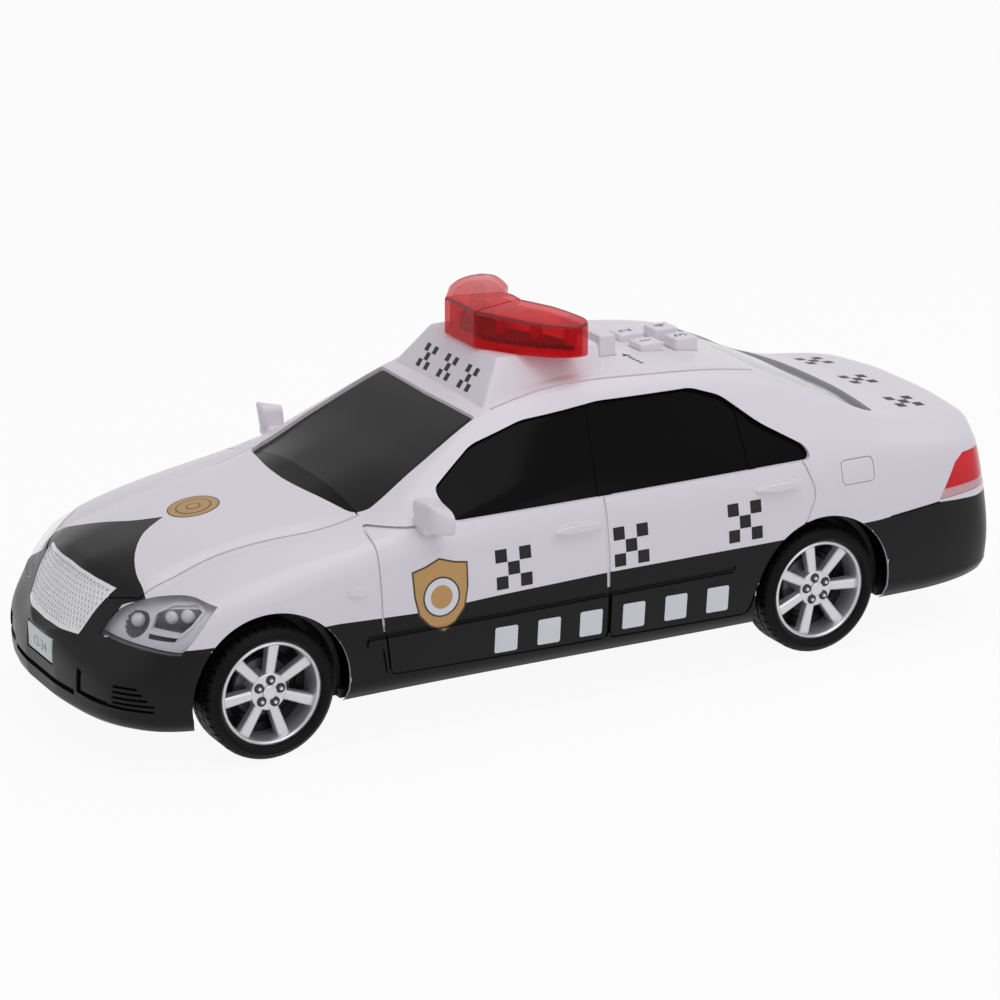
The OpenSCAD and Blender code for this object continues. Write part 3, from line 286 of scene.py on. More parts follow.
class Line:
    """A smooth line through rows of share along the length and value, which never swings past its rows."""

    def __init__(self, *rows):
        self.at = np.arccos([row[0] for row in rows])
        self.value = np.array([row[1] for row in rows])
        rise = np.diff(self.value) / np.diff(self.at)
        both, total = rise[:-1] * rise[1:], rise[:-1] + rise[1:]
        inner = np.where(both > 0, 2 * both / np.where(total == 0, 1, total), 0)
        self.slope = np.concatenate([rise[:1], inner, rise[-1:]])

    def __call__(self, angle):
        i = np.clip(np.searchsorted(self.at, angle) - 1, 0, len(self.at) - 2)
        h = self.at[i + 1] - self.at[i]
        k = (angle - self.at[i]) / h
        start = self.value[i] * (1 + 2 * k) * (1 - k) ** 2 + self.slope[i] * h * k * (1 - k) ** 2
        return start + self.value[i + 1] * k * k * (3 - 2 * k) + self.slope[i + 1] * h * k * k * (k - 1)


waist_y = Line(
    (1, 0), (.985, .44), (.96, .67), (.93, .80), (.88, .915), (.81, .965), (.6, .99), (.3, 1),
    (-.6, 1), (-.78, .985), (-.87, .96), (-.93, .91), (-.97, .80), (-.99, .58), (-1, 0))
waist_z = Line((1, .26), (.9, .31), (.6, .39), (-.6, .415), (-.9, .35), (-1, .28))
sill_z = Line(
    (1, .16), (.93, .124), (.8, .108), (.6, .118), (.3, .124), (-.3, .119), (-.75, .119), (-.95, .15), (-1, .175))
shoulder_y = Line(
    (1, 0), (.97, .36), (.93, .62), (.88, .80), (.81, .895), (.7, .925), (.4, .935), (.2, .93),
    (-.3, .93), (-.55, .925), (-.8, .915), (-.91, .85), (-.954, .74), (-.975, .66), (-1, 0))
shoulder_z = Line(
    (1, .33), (.96, .36), (.9, .425), (.84, .49), (.7, .56), (.5, .62), (.37, .655), (.2, .67),
    (-.5, .67), (-.7, .66), (-.91, .62), (-.954, .59), (-.972, .445), (-1, .37))
rail_y = Line(
    (1, 0), (.97, .26), (.94, .36), (.89, .43), (.8, .50), (.6, .64), (.45, .70), (.31, .64), (.17, .565),
    (0, .57), (-.2, .57), (-.4, .565), (-.47, .58), (-.7, .74), (-.8, .74), (-.911, .68), (-.954, .60),
    (-.975, .48), (-1, 0))
rail_z = Line(
    (1, .33), (.965, .40), (.93, .48), (.89, .54), (.8, .585), (.6, .645), (.45, .675), (.31, .80),
    (.17, .925), (.09, .965), (-.01, .995), (-.11, 1), (-.24, .99), (-.34, .975), (-.455, .94),
    (-.6, .84), (-.7, .755), (-.8, .715), (-.911, .70), (-.95, .68), (-.966, .54), (-.975, .455), (-1, .37))
crown_z = Line(
    (1, .33), (.98, .378), (.96, .445), (.935, .518), (.917, .564), (.885, .585), (.8, .62), (.66, .662),
    (.48, .708), (.31, .81), (.18, .92), (.12, .957), (.03, .987), (-.1, 1), (-.22, .992), (-.33, .973),
    (-.41, .956), (-.47, .933), (-.6, .858), (-.7, .784), (-.74, .759), (-.82, .729), (-.9, .718),
    (-.945, .709), (-.958, .674), (-.968, .518), (-.975, .46), (-.988, .45), (-1, .37))


def body_rings(inset):
    """Sections of the body set in by a depth in mm, as an array of stations, points and x y z."""
    angle = np.linspace(END_ANGLE, math.pi - END_ANGLE, STATIONS + 1)
    drawn = lambda y: np.maximum(y - inset, y * PINCH)
    waist, rail = HALF_W * waist_y(angle), drawn(HALF_W * rail_y(angle))
    low, top, none = ROOF * sill_z(angle), ROOF * crown_z(angle) - inset, np.zeros_like(angle)
    path = [
        (none, low), (drawn(waist * SILL_TUCK), low), (drawn(waist), ROOF * waist_z(angle)),
        (drawn(HALF_W * shoulder_y(angle)), ROOF * shoulder_z(angle) - inset),
        (rail, ROOF * rail_z(angle) - inset), (rail * CROWN_FLAT, top), (none, top)]
    path = [np.stack(point, 1) for point in path]
    half = [path[0]]
    for i, (share, steps) in enumerate(zip(CORNER_SHARES, CORNER_STEPS)):
        p, q, r = path[i:i + 3]
        a, b = q + (p - q) * share, q + (r - q) * share
        last = half[-1]
        half += [last + (a - last) * k for k in np.linspace(0, 1, 6)[1:-1]]
        half += [a * (1 - k) ** 2 + q * 2 * k * (1 - k) + b * k * k for k in np.linspace(0, 1, steps + 1)]
    half.append(path[-1])
    x = (HALF_L - inset) * np.cos(angle) / math.cos(END_ANGLE)
    for point in half:
        away = (point[:, 0] - np.interp(-x, *CREASE)) / CREASE_W
        fade = np.clip((x - 50) / 14, 0, 1) * np.clip((105 - x) / 10, 0, 1) * (point[:, 1] > 34)
        point[:, 1] -= CREASE_D * fade * np.exp(-away ** 2)
    ring = np.stack(half + [point * (-1, 1) for point in half[-2:0:-1]], 1)
    return np.concatenate([np.repeat(x[:, None, None], ring.shape[1], 1), ring], 2) * MM


def closed(bm, name):
    """Ends a bmesh as a mesh whose faces point outwards."""
    bmesh.ops.recalc_face_normals(bm, faces=bm.faces)
    mesh = bpy.data.meshes.new(name)
    bm.to_mesh(mesh)
    bm.free()
    return mesh


def loft(inset):
    """The body form as a closed skin, set in by a depth in mm."""
    rings = body_rings(inset)
    rows, columns = rings.shape[:2]
    bm = bmesh.new()
    bmesh.ops.create_grid(bm, x_segments=columns, y_segments=rows - 1, size=1)
    places = np.concatenate([rings, rings[:, :1]], 1).reshape(-1, 3)
    for vert, place in zip(bm.verts, places):
        vert.co = place
    bmesh.ops.remove_doubles(bm, verts=bm.verts, dist=1e-7)
    bmesh.ops.holes_fill(bm, edges=[e for e in bm.edges if e.is_boundary], sides=0)
    return closed(bm, "loft")


body_skin = loft(0)
print("body form has", len(body_skin.polygons), "faces")

# %% [markdown]
# A moulding is cut and joined from a few plain solids. `prism` sends a flat outline through the body from the
# side, the front, above or square to a headlight; `solid` joins, cuts or crosses meshes with the Boolean
# modifier's manifold solver, which is quick and keeps the skin closed.

# %% Solid helpers
R2 = math.sqrt(0.5)
PLANES = {
    "side": lambda u, v, w: (u, w, v),
    "front": lambda u, v, w: (w, u, v),
    "top": lambda u, v, w: (u, v, w),
    "lamp": lambda u, v, w: ((w - u) * R2, (w + u) * R2, v),
}


def flat(points, plane, at, corner=0, shrink=0):
    """One flat face through points in mm, its corners rounded and its edge drawn in."""
    bm = bmesh.new()
    bm.faces.new([bm.verts.new(Vector(PLANES[plane](u, v, at)) * MM) for u, v in points])
    bm.normal_update()
    if corner:
        bmesh.ops.bevel(bm, geom=bm.verts[:], offset=corner * MM, offset_type="OFFSET", segments=4,
                        profile=0.5, affect="VERTICES", material=-1, clamp_overlap=True)
    if shrink:
        inner = bm.faces[:]
        bmesh.ops.inset_region(bm, faces=inner, thickness=shrink * MM, use_even_offset=True, use_boundary=True)
        bmesh.ops.delete(bm, geom=[f for f in bm.faces if f not in inner], context="FACES")
    return bm


def pushed(bm, plane, depth):
    """The bmesh's faces pushed through along their plane's own direction, as a closed solid."""
    made = bmesh.ops.extrude_face_region(bm, geom=bm.faces[:])["geom"]
    bmesh.ops.translate(bm, verts=[v for v in made if isinstance(v, bmesh.types.BMVert)],
                        vec=Vector(PLANES[plane](0, 0, depth)) * MM)
    return closed(bm, "prism")


def prism(points, plane, near, far, corner=0, shrink=0):
    """An outline pushed through from one depth to another, in mm."""
    return pushed(flat(points, plane, near, corner, shrink), plane, far - near)


def band(points, plane, near, far, width, corner=0):
    """A band of one width along the inside of a closed outline, as a solid."""
    bm = flat(points, plane, near, corner)
    inner = bm.faces[:]
    bmesh.ops.inset_region(bm, faces=inner, thickness=width * MM, use_even_offset=True, use_boundary=True)
    bmesh.ops.delete(bm, geom=inner, context="FACES")
    return pushed(bm, plane, far - near)


def ribbon(points, plane, near, far, width):
    """A strip of one width along an open line, as a solid."""
    p = np.array(points, float)
    run = np.gradient(p, axis=0)
    side = np.stack([-run[:, 1], run[:, 0]], 1) / np.linalg.norm(run, axis=1)[:, None] * width / 2
    return prism([*map(tuple, p + side), *map(tuple, (p - side)[::-1])], plane, near, far)


def both(mesh):
    """A left-hand solid together with its mirror image."""
    bm = bmesh.new()
    bm.from_mesh(mesh)
    twin = bmesh.ops.duplicate(bm, geom=bm.verts[:] + bm.edges[:] + bm.faces[:])["geom"]
    bmesh.ops.scale(bm, vec=(1, -1, 1), verts=[v for v in twin if isinstance(v, bmesh.types.BMVert)])
    return closed(bm, mesh.name)


def mirrored(mesh):
    """A left-hand solid turned over to the right."""
    bm = bmesh.new()
    bm.from_mesh(mesh)
    bmesh.ops.scale(bm, vec=(1, -1, 1), verts=bm.verts)
    return closed(bm, mesh.name)


SIDES = (("left", lambda mesh: mesh), ("right", mirrored))
NEAR_SIDE, FAR_SIDE = 30, 60


def on_sides(points, corner=0, shrink=0):
    """An outline drawn on the side, pushed through the left and the right flank."""
    return both(prism(points, "side", NEAR_SIDE, FAR_SIDE, corner, shrink))


def rect(u0, v0, u1, v1):
    """The outline of a rectangle between two corners."""
    return [(u0, v0), (u1, v0), (u1, v1), (u0, v1)]


def solid(how, first, *others):
    """Meshes joined (UNION), cut (DIFFERENCE) or crossed (INTERSECT), one after another."""
    holder = bpy.data.objects.new("work", first)
    scene.collection.objects.link(holder)
    helpers = []
    for other in others:
        helper = bpy.data.objects.new("tool", other)
        scene.collection.objects.link(helper)
        helpers.append(helper)
        step = holder.modifiers.new("step", "BOOLEAN")
        step.operation, step.solver, step.object = how, "MANIFOLD", helper
    graph = bpy.context.evaluated_depsgraph_get()
    result = bpy.data.meshes.new_from_object(holder.evaluated_get(graph))
    for used in (holder, *helpers):
        bpy.data.objects.remove(used)
    if not len(result.polygons):
        raise ValueError("a solid came out empty")
    return result


def layer(outer, inner, *outlines):
    """What lies inside the outlines between two depths under the body's skin."""
    tool = solid("UNION", *outlines) if len(outlines) > 1 else outlines[0]
    return solid("DIFFERENCE", solid("INTERSECT", loft(outer), tool), loft(inner))


skin_points = [v.co for v in body_skin.vertices]
skin_faces = [p.vertices[:] for p in body_skin.polygons]
skin_tree = BVHTree.FromPolygons(skin_points, skin_faces)
skin_normals = [v.normal.copy() for v in body_skin.vertices]
for end in (p for p in body_skin.polygons if len(p.vertices) > 4):
    for corner in end.vertices:
        skin_normals[corner] = end.normal.copy()


def skin_normal(place):
    """Normal of the uncut body skin next to a place, and the distance to it."""
    hit, normal, face, distance = skin_tree.find_nearest(place)
    near = skin_faces[face]
    if len(near) > 4:
        return normal, distance
    weights = [1 / max((body_skin.vertices[i].co - hit).length, 1e-6) ** 2 for i in near]
    return sum((skin_normals[i] * w for i, w in zip(near, weights)), Vector()).normalized(), distance


def shade(mesh, angle=28.0, follow=None):
    """Smooth shading with sharp edges past an angle. Faces whose depth under the skin lies in the range `follow`
    take the uncut skin's normals, so that the cuts leave no dents in the highlights."""
    mesh.shade_smooth()
    mesh.set_sharp_from_angle(angle=math.radians(angle))
    if follow is None:
        return mesh
    found = [skin_normal(v.co) for v in mesh.vertices]
    normals = [(0, 0, 0)] * len(mesh.loops)
    for face in mesh.polygons:
        if all(follow[0] * MM <= found[i][1] <= follow[1] * MM for i in face.vertices):
            if all(found[i][0].dot(face.normal) > 0.8 for i in face.vertices):
                for loop in face.loop_indices:
                    normals[loop] = found[mesh.loops[loop].vertex_index][0]
    mesh.normals_split_custom_set(normals)
    return mesh


def piece(name, mesh, body, slot, nodes, *materials):
    """A finished mesh as a named piece that rides on a CAD body and stands for CAD nodes."""
    mesh.name = name
    index = np.zeros(len(mesh.polygons), int)
    mesh.polygons.foreach_get("material_index", index)
    mesh.materials.clear()
    for material in materials:
        mesh.materials.append(material)
    mesh.polygons.foreach_set("material_index", index)
    made = bpy.data.objects.new(name, mesh)
    scene.collection.objects.link(made)
    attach(made, body)
    if nodes:
        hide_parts(*nodes)
    print(name, len(mesh.polygons), "faces")
    return made


print("solid helpers ready")

# %% [markdown]
# The openings and seams of the car are drawn as flat outlines in millimetres, as on a three-view drawing. They
# could be modelled by moving vertices on the skin, but an outline is easier to correct. `eased` runs a smooth
# line through a few points, and `whole` adds the other half of a half outline.

# %% Body outlines
FAR = 130


def eased(points, parts=4):
    """Points along a smooth line through the given ones, which leaves the first and last in place."""
    p = np.array([points[0], *points, points[-1]], float)
    line = [tuple(p[1])]
    for a, b, c, d in zip(p, p[1:], p[2:], p[3:]):
        for k in np.arange(1, parts + 1) / parts:
            bend = (2 * a - 5 * b + 4 * c - d) * k * k + (3 * b - a - 3 * c + d) * k ** 3
            line.append(tuple((2 * b + (c - a) * k + bend) / 2))
    return line


side_window = [
    (33.8, 47.1), (35.6, 53.1), (23.7, 60.5), (10.7, 64.3), (-9.2, 66.1), (-34.1, 65.6), (-41.4, 63.1),
    (-49.5, 56.4), (-59.6, 50.5), (-60.1, 47.5)]
windscreen = eased([(57.2, 0), (56.6, 10), (54.2, 21.5), (52.4, 26.6), (49.2, 28.4)]) + [(20, 23.6), (20.4, 0)]
rear_window = [(-57, 0), (-55.8, 22.2), (-63, 26.3), (-77, 30.7), (-84, 29.8), (-86, 0)]
LAMP_U, LAMP_Z, LAMP_L, LAMP_H = -64.25, 27.92, 27.5, 10.2


def in_lamp(shares):
    """Places on a headlight, given as shares of its length and height."""
    return [(LAMP_U + s * LAMP_L, LAMP_Z + t * LAMP_H) for s, t in shares]


lamp_over = eased([(0, .03), (.09, .40), (.22, .68), (.42, .87), (.62, .97), (.80, .98), (1, .87)])
lamp_under = eased([
    (1, .87), (.95, .62), (.89, .33), (.80, .02), (.765, -.06), (.52, -.03), (.22, -.02), (0, .03)])
headlight = in_lamp(lamp_over + lamp_under[1:-1])
tail_lamp = [(-95, 32.9), (-100.4, 40.9), (-103.3, 42.6), (-130, 42.1), (-130, 33.6)]
grille_half = [(0, 26), (14.5, 26.5), (18.5, 37.2), (8.9, 38.3), (0, 38.5)]
front_door = [
    (53.9, 47.4), (53.9, 29), (52.4, 19), (51.9, 15.1), (-3.8, 14), (-3.8, 53), (29, 53), (33, 47.6)]
rear_door = [
    (-3.8, 53), (-3.8, 14), (-41.9, 13.4), (-43.9, 20), (-57, 33), (-60.5, 40), (-57.6, 48.4), (-50, 53)]
hood_front = eased([(111.6, 0), (110.6, 10), (107.9, 18.6), (103.6, 25.0)])
hood_side = eased([
    (103.6, 25.0), (94, 24.2), (84.4, 23.6), (75.2, 24.6), (66.6, 26.4), (58.8, 28.0), (51.6, 28.6)])
hood_half = hood_front + hood_side[1:] + [(51.6, 26), (54.8, 0)]


def whole(half, upright=False):
    """A half outline and its other half: plan outlines are mirrored in v, upright ones in u."""
    other = [(-u, v) if upright else (u, -v) for u, v in half[::-1] if (u if upright else v) != 0]
    return half + other


def bar(start, finish, height):
    """The outline of a slanting bar between two places, with upright ends."""
    (x0, z0), (x1, z1) = start, finish
    return [(x0, z0), (x0, z0 + height), (x1, z1 + height), (x1, z1)]


print("outlines ready")

# %% [markdown]
# The shell starts as the solid form. The door panel, handles and side markers are the same form grown by a
# little inside their outlines, so they follow the doors' curve. Then the inside, the wheel arches, the windows
# and the lamp openings are cut away. A second, wider arch is cut under the skin, so that the lip looks thin.

# %% Body solid
def raised(rise, *outlines):
    """The body form grown by a rise in mm, kept only inside outlines on its sides."""
    return [solid("INTERSECT", loft(-rise), on_sides(*outline)) for outline in outlines]


panel = [
    (57.4, 24.4), (57.4, 22.4), (53.6, 22.2), (52.4, 15.6), (-40.6, 14.0), (-41.2, 16.5), (-37.5, 22.6),
    (-37.5, 24.8)]
handles = []
for x, z in ((3.5, 41.6), (-49.9, 43.1)):
    for grow, rise in ((1, 0.45), (0.62, 1.15)):
        grip = eased([
            (x + 6.2, z), (x + 3, z + 1.25 * grow), (x - 2, z + 1.3 * grow), (x - 5.6, z + 0.5),
            (x - 3, z - 0.9 * grow), (x + 2, z - 1.0 * grow), (x + 6.2, z)])[:-1]
        handles += raised(rise, (grip,))
handles = solid("UNION", *handles)
turns = np.linspace(0, 2 * math.pi, 24, False)
marker = [(59.2 + 2.4 * math.cos(t), 36 + 1.0 * math.sin(t)) for t in turns]
shell = solid("UNION", loft(0), *raised(0.55, (panel, 0.6)), handles, *raised(0.5, (marker,)))

floor_angle = np.linspace(END_ANGLE, math.pi - END_ANGLE, 81)
floor_y = HALF_W * waist_y(floor_angle) * SILL_TUCK
floor_line = list(zip((HALF_L - 2) * np.cos(floor_angle) / math.cos(END_ANGLE),
                      np.maximum(floor_y - 2, floor_y * PINCH)))
hollow = prism(floor_line + [(x, -y) for x, y in floor_line[::-1]], "top", -20, 12.5)

wheel_x, wheel_z, arch_r, arch_in = (80, -62), 15.5, 18.7, 27.6


def arch(x, radius):
    """A pair of cylinders that cut a wheel arch on each side."""
    bm = bmesh.new()
    bmesh.ops.create_cone(bm, cap_ends=True, segments=120, radius1=radius * MM, radius2=radius * MM, depth=80 * MM)
    bmesh.ops.rotate(bm, verts=bm.verts, matrix=Matrix.Rotation(math.pi / 2, 3, "X"))
    bmesh.ops.translate(bm, verts=bm.verts, vec=Vector((x, arch_in + 40, wheel_z)) * MM)
    return both(closed(bm, "arch"))


arches = [arch(x, arch_r) for x in wheel_x]
arches += [solid("INTERSECT", arch(x, arch_r + 1.2), loft(0.6)) for x in wheel_x]

side_glass = both(prism(side_window, "side", 14, FAR_SIDE, corner=1.6))
screen_glass = prism(whole(windscreen), "top", 43, 100, corner=1.6)
rear_opening = prism(whole(rear_window), "top", 43, 100, corner=1.6)
openings = [side_glass, screen_glass, rear_opening, both(prism(headlight, "lamp", 86, FAR))]
key_spots = [(-35.74, 4.8), (-35.74, -4.8), (-45.34, 4.8), (-45.34, -4.8)]
key_holes = [prism(rect(x - 3.35, y - 3.1, x + 3.35, y + 3.1), "top", 60, 80) for x, y in key_spots]
key_holes.append(prism(rect(-25.01, -10.05, -20.11, 10.05), "top", 60, 80))
shell = solid("DIFFERENCE", shell, loft(2), hollow, *arches, *openings, *key_holes)
print("shell has", len(shell.polygons), "faces")

# %% [markdown]
# Panel gaps and recesses are shallow, so each cutter has the body form itself taken out of it at the depth of
# the groove. What is left of the cutter is a thin rind, and the groove's floor follows the panel.

# %% Seams and recesses
fuel_flap = [(-67.5, 40.5), (-67.5, 46.3), (-76.6, 46.3), (-76.6, 40.5)]
seams = [
    both(band(door, "side", NEAR_SIDE, FAR_SIDE, 0.5, corner=2)) for door in (front_door, rear_door)]
seams += [
    band(whole(hood_half), "top", 20, 60, 0.45), band(fuel_flap, "side", NEAR_SIDE, FAR_SIDE, 0.22, corner=1.2)]
seams = solid("DIFFERENCE", solid("UNION", *seams), loft(0.45))
fog = [(18, 20.2), (18, 14.6), (24, 14.1), (38, 14.3), (38, 14.9), (28.9, 14.9), (19.1, 15.2), (19.1, 20.2)]
fog_panel = [(19.1, 15.2), (28.6, 14.9), (28.6, 19.4), (19.1, 19.9)]
louvres = [bar((29.8, z), (38.2 - k, z + 0.3), 0.55) for k, z in enumerate((15.3, 16.5, 17.7, 18.9))]
recesses = [
    both(prism(tail_lamp, "side", 16, 60)), prism(whole(grille_half, True), "front", 90, FAR),
    both(prism(fog, "front", 60, FAR)), prism(rect(-17, 13.5, 17, 14.8), "front", 60, FAR)]
recesses += [both(prism(outline, "front", 60, FAR)) for outline in louvres]
recesses = solid("DIFFERENCE", solid("UNION", *recesses), loft(1.2))
groove = on_sides(bar((57.4, 24.9), (-37.5, 25.3), 0.9))
roof_edge = eased([(16, 23.6), (-1.9, 23.9), (-22.6, 24.6), (-44.4, 24.1), (-53.5, 23.8)])
roof_line = both(ribbon(roof_edge, "top", 55, 90, 0.5))
bumper_line = on_sides(bar((-80.5, 31.0), (-95, 32.2), 0.5))
groove = solid("UNION", groove, roof_line, bumper_line)
shallow = solid("DIFFERENCE", solid("UNION", groove, both(prism(fog_panel, "front", 60, FAR))), loft(0.35))
plate_hole = prism(rect(-7.4, 17.4, 7.4, 24), "front", 116.3, FAR)
shell = solid("DIFFERENCE", shell, seams, recesses, shallow, plate_hole)
print("shell with seams has", len(shell.polygons), "faces")

# %% [markdown]
# The two-tone paint needs a clean edge. Instead of a texture, the faces themselves are scored along the paint
# line with the bisect operator, one plane for each stretch of the line, and every face then takes the finish of
# the side it lies on. Cut edges such as the wheel arch lips stay in the white plastic, as masking leaves them.

# %% Two-tone paint
side_line = [
    (125, 28), (110, 28), (104, 28.3), (97, 28.6), (93.4, 28.7), (80, 29.2), (64, 29.5), (44, 28.8), (24, 29.6),
    (-4, 30.3), (-49, 30.4), (-77, 31), (-95, 32.4), (-107, 31.5), (-125, 31.5)]
nose_half = eased([(86.7, 0), (93.4, 4.6), (98.8, 12), (101.4, 18.6), (101.9, 23.4), (102.6, 26.6)], 3)
nose_half += [(106.6, 22.6), (125, 20.3)]


def score(bm, point, normal, chosen):
    """Cuts the chosen faces along a plane, without parting them."""
    faces = [f for f in bm.faces if chosen(f.calc_center_median() * 1000)]
    around = {v for f in faces for v in f.verts} | {e for f in faces for e in f.edges}
    bmesh.ops.bisect_plane(bm, geom=[*around, *faces], dist=1e-8, plane_co=Vector(point) * MM,
                           plane_no=Vector(normal))


bm = bmesh.new()
bm.from_mesh(shell)
for x, z in side_line[1:-1]:
    score(bm, (x, 0, 0), (1, 0, 0), lambda c: abs(c.x - x) < 4 and 24 < c.z < 36)
for (x0, z0), (x1, z1) in zip(side_line, side_line[1:]):
    score(bm, (x0, 0, z0), (z0 - z1, 0, x1 - x0), lambda c: x1 < c.x < x0 and 20 < c.z < 40)
for side in (1, -1):
    for x, y in nose_half[1:-1]:
        score(bm, (0, side * y, 0), (0, 1, 0), lambda c: c.x > 84 and abs(c.y - side * y) < 4 and c.z > 27)
    for (x0, y0), (x1, y1) in zip(nose_half, nose_half[1:]):
        low, high = sorted((y0, y1))
        score(bm, (x0, side * y0, 0), (side * (y1 - y0), x0 - x1, 0),
              lambda c: c.x > 84 and low < side * c.y < high and c.z > 27)


def line_height(x):
    """Height of the paint line on the side."""
    return np.interp(-x, [-p[0] for p in side_line], [p[1] for p in side_line])


def in_nose(x, y):
    """Whether a place on the hood lies ahead of the painted nose's edge."""
    y, count = abs(y), 0
    outline = nose_half + [(125, 0)]
    for (x0, y0), (x1, y1) in zip(outline, outline[1:] + outline[:1]):
        if (y0 > y) != (y1 > y) and x < x0 + (y - y0) * (x1 - x0) / (y1 - y0):
            count += 1
    return count % 2 == 1


for face in bm.faces:
    c = face.calc_center_median() * 1000
    lip = any(abs(math.hypot(c.x - x, c.z - wheel_z) - arch_r) < 0.06 for x in wheel_x)
    depth = skin_normal(c * MM)[1] * 1000
    gap = 0.05 < depth < 0.6 and c.z > 26.4 and any(abs(c.x - x) < 1 for x in (53.6, -3.8))
    black = c.z < line_height(c.x) or (c.z > 26 and in_nose(c.x, c.y))
    face.material_index = int(black and not lip and not gap)
bm.to_mesh(shell)
bm.free()
shade(shell, 28, (0, 0.02))

white_plastic = moulded("white_plastic", (0.85, 0.805, 0.86), 0.3, 0.006, 1400, 0.006)
black_paint = moulded("black_paint", (0.004, 0.004, 0.005), 0.32, 0.2, 1400, 0.006, specular_ior_level=0.2)
piece("body_moulding", shell, "car", "body_plastic", ["body_shell"], white_plastic, black_paint)

# %% [markdown]
# The windows of this toy are one dark smoked moulding that shows through the openings. Each pane is a layer of
# the body form just under the skin; the pillars between the side panes are the same layer a little higher.
# The side panes are near black. The windscreen is painted paler towards the roof, a painted reflection of the bright
# surround, and the rear pane is painted a pale grey, a painted reflection of the sky, which its strong gloss mirrors
# as well.

# %% Windows
pillars = [
    [(-7.3, 70), (-10.6, 70), (-6.1, 45), (-2.6, 45)], [(-45.6, 70), (-47.9, 70), (-44.8, 45), (-42.9, 45)]]
panes = layer(0.75, 2.6, side_glass, screen_glass, rear_opening)
posts = layer(0.55, 2.6, *[both(prism(pillar, "side", 14, FAR_SIDE)) for pillar in pillars])
panes = solid("UNION", panes, solid("INTERSECT", posts, side_glass))
smoked = moulded("smoked_plastic", (0.003, 0.0029, 0.0028), 0.14, 0.25, 700, 0.005, specular_ior_level=0.06)
screen = Finish("smoked_screen", (0.03, 0.026, 0.024), 0.14, specular_ior_level=0.12)
up = screen.axes()[2]
# Painted reflection: the windscreen's colour grows paler towards the roof.
screen.color(screen.blend(up.step(0.046, 0.066), (0.008, 0.0068, 0.0064), (0.020, 0.0175, 0.016)))
screen.rough(screen.noise(60) * 0.08 + 0.1)
# Painted reflection: the rear pane's pale grey colour stands in for the sky it reflects; its strong gloss mirrors the
# sky as well.
rear_glass_painted_reflection = moulded("rear_glass_painted_reflection", (0.20, 0.21, 0.22), 0.1, 0.1, 300, 0.005, specular_ior_level=0.9)
for face in panes.polygons:
    x, y, _ = face.center / MM
    in_rear = -90 < x < -52 and abs(y) < 31 and face.normal.z > 0.5
    face.material_index = 2 if in_rear else int(face.normal.x > 0.3)
shade(panes, 28, (0.5, 0.8))
piece("window_panes", panes, "car", "smoked_plastic", ["window_insert"], smoked, screen.material, rear_glass_painted_reflection)

# %% [markdown]
# A headlight is two mouldings: a plated housing with a round and a wide bowl, and a clear cover that carries
# the body's surface over it. Both are layers of the body form, so the cover closes the opening exactly; the
# bowls are a sphere and an outline cut out of the housing, with small plated domes inside. Faces that lie deep
# under the skin are painted darker, a painted shade in the bowls and the slot. Glass with transmission would shade the
# lamps' light from the housing, so the cover mixes its gloss with a plain transparent shader.

# %% Headlights
BOWL_DEPTH = 2.4


def dome(along, up, out, radius):
    """A ball on a headlight, placed by its shares along and up the lamp and its distance out, in mm."""
    bm = bmesh.new()
    bmesh.ops.create_uvsphere(bm, u_segments=32, v_segments=20, radius=radius * MM)
    place = PLANES["lamp"](*in_lamp([(along, up)])[0], out)
    bmesh.ops.translate(bm, verts=bm.verts, vec=Vector(place) * MM)
    return closed(bm, "dome")


wide_bowl = in_lamp([(.45, .25), (.47, .62), (.61, .81), (.81, .87), (.90, .74), (.83, .45), (.74, .25)])
under_slot = in_lamp([(.46, .13), (.46, .22), (.72, .23), (.70, .15)])
lamp_cut = prism(headlight, "lamp", 86, FAR, shrink=0.15)
housing = solid(
    "DIFFERENCE", layer(1.3, 4.4, lamp_cut), dome(.31, .38, 93.4, 3.5),
    prism(wide_bowl, "lamp", 91.6, FAR, corner=0.5), prism(under_slot, "lamp", 92.6, FAR))
# Faces deep under the skin take the painted shade of the bowls and the slot.
for face in housing.polygons:
    face.material_index = int(skin_normal(face.center)[1] > BOWL_DEPTH * MM)
bezel = layer(1.0, 2, band(wide_bowl, "lamp", 86, FAR, 0.5, corner=0.5))
bulbs = [dome(.31, .36, 91.3, 1.6), dome(.60, .50, 91.3, 1.6), dome(.74, .56, 91.3, 1.7)]
trim = solid("UNION", bezel, solid("UNION", *bulbs))
plated = moulded("plated_plastic", (0.78, 0.77, 0.80), 0.2, 0.04, 600, 0.02)
# A darker copy of the plated plastic: painted shade for the deep bowls and the slot.
bowl_painted_shade = moulded("bowl_painted_shade", (0.13, 0.12, 0.13), 0.22, 0.15, 500, 0.03)
clear = Finish("clear_plastic", (0.80, 0.79, 0.82), 0.06)
clear.see_through((0.98, 0.98, 0.99), 0.98 - clear.node("LayerWeight", None, 0.2, out="Facing") * 0.25)
clear.bump(clear.noise(260), 0.1, 0.02 * MM)
cover = layer(0.08, 0.75, lamp_cut)
for name, turned_over in SIDES:
    nodes = ["headlight_reflector_" + name]
    body = shade(turned_over(housing.copy()), 30)
    piece("headlight_housing_" + name, body, "car", "plated_plastic", nodes, plated, bowl_painted_shade)
    bright_trim = shade(turned_over(trim.copy()), 40)
    piece("headlight_bulbs_" + name, bright_trim, "car", "plated_plastic", nodes, plated)
    glass = shade(turned_over(cover.copy()), 28)
    piece("headlight_cover_" + name, glass, "car", "clear_plastic", ["headlight_lens_" + name], clear.material)

# %% [markdown]
# The tail lamps are plain red mouldings that wrap round the corners: a layer of the body form inside one
# outline. Their fine upright ribs are a wave in the bump, the red deepens downwards, and a pale band marks the
# lower edge.

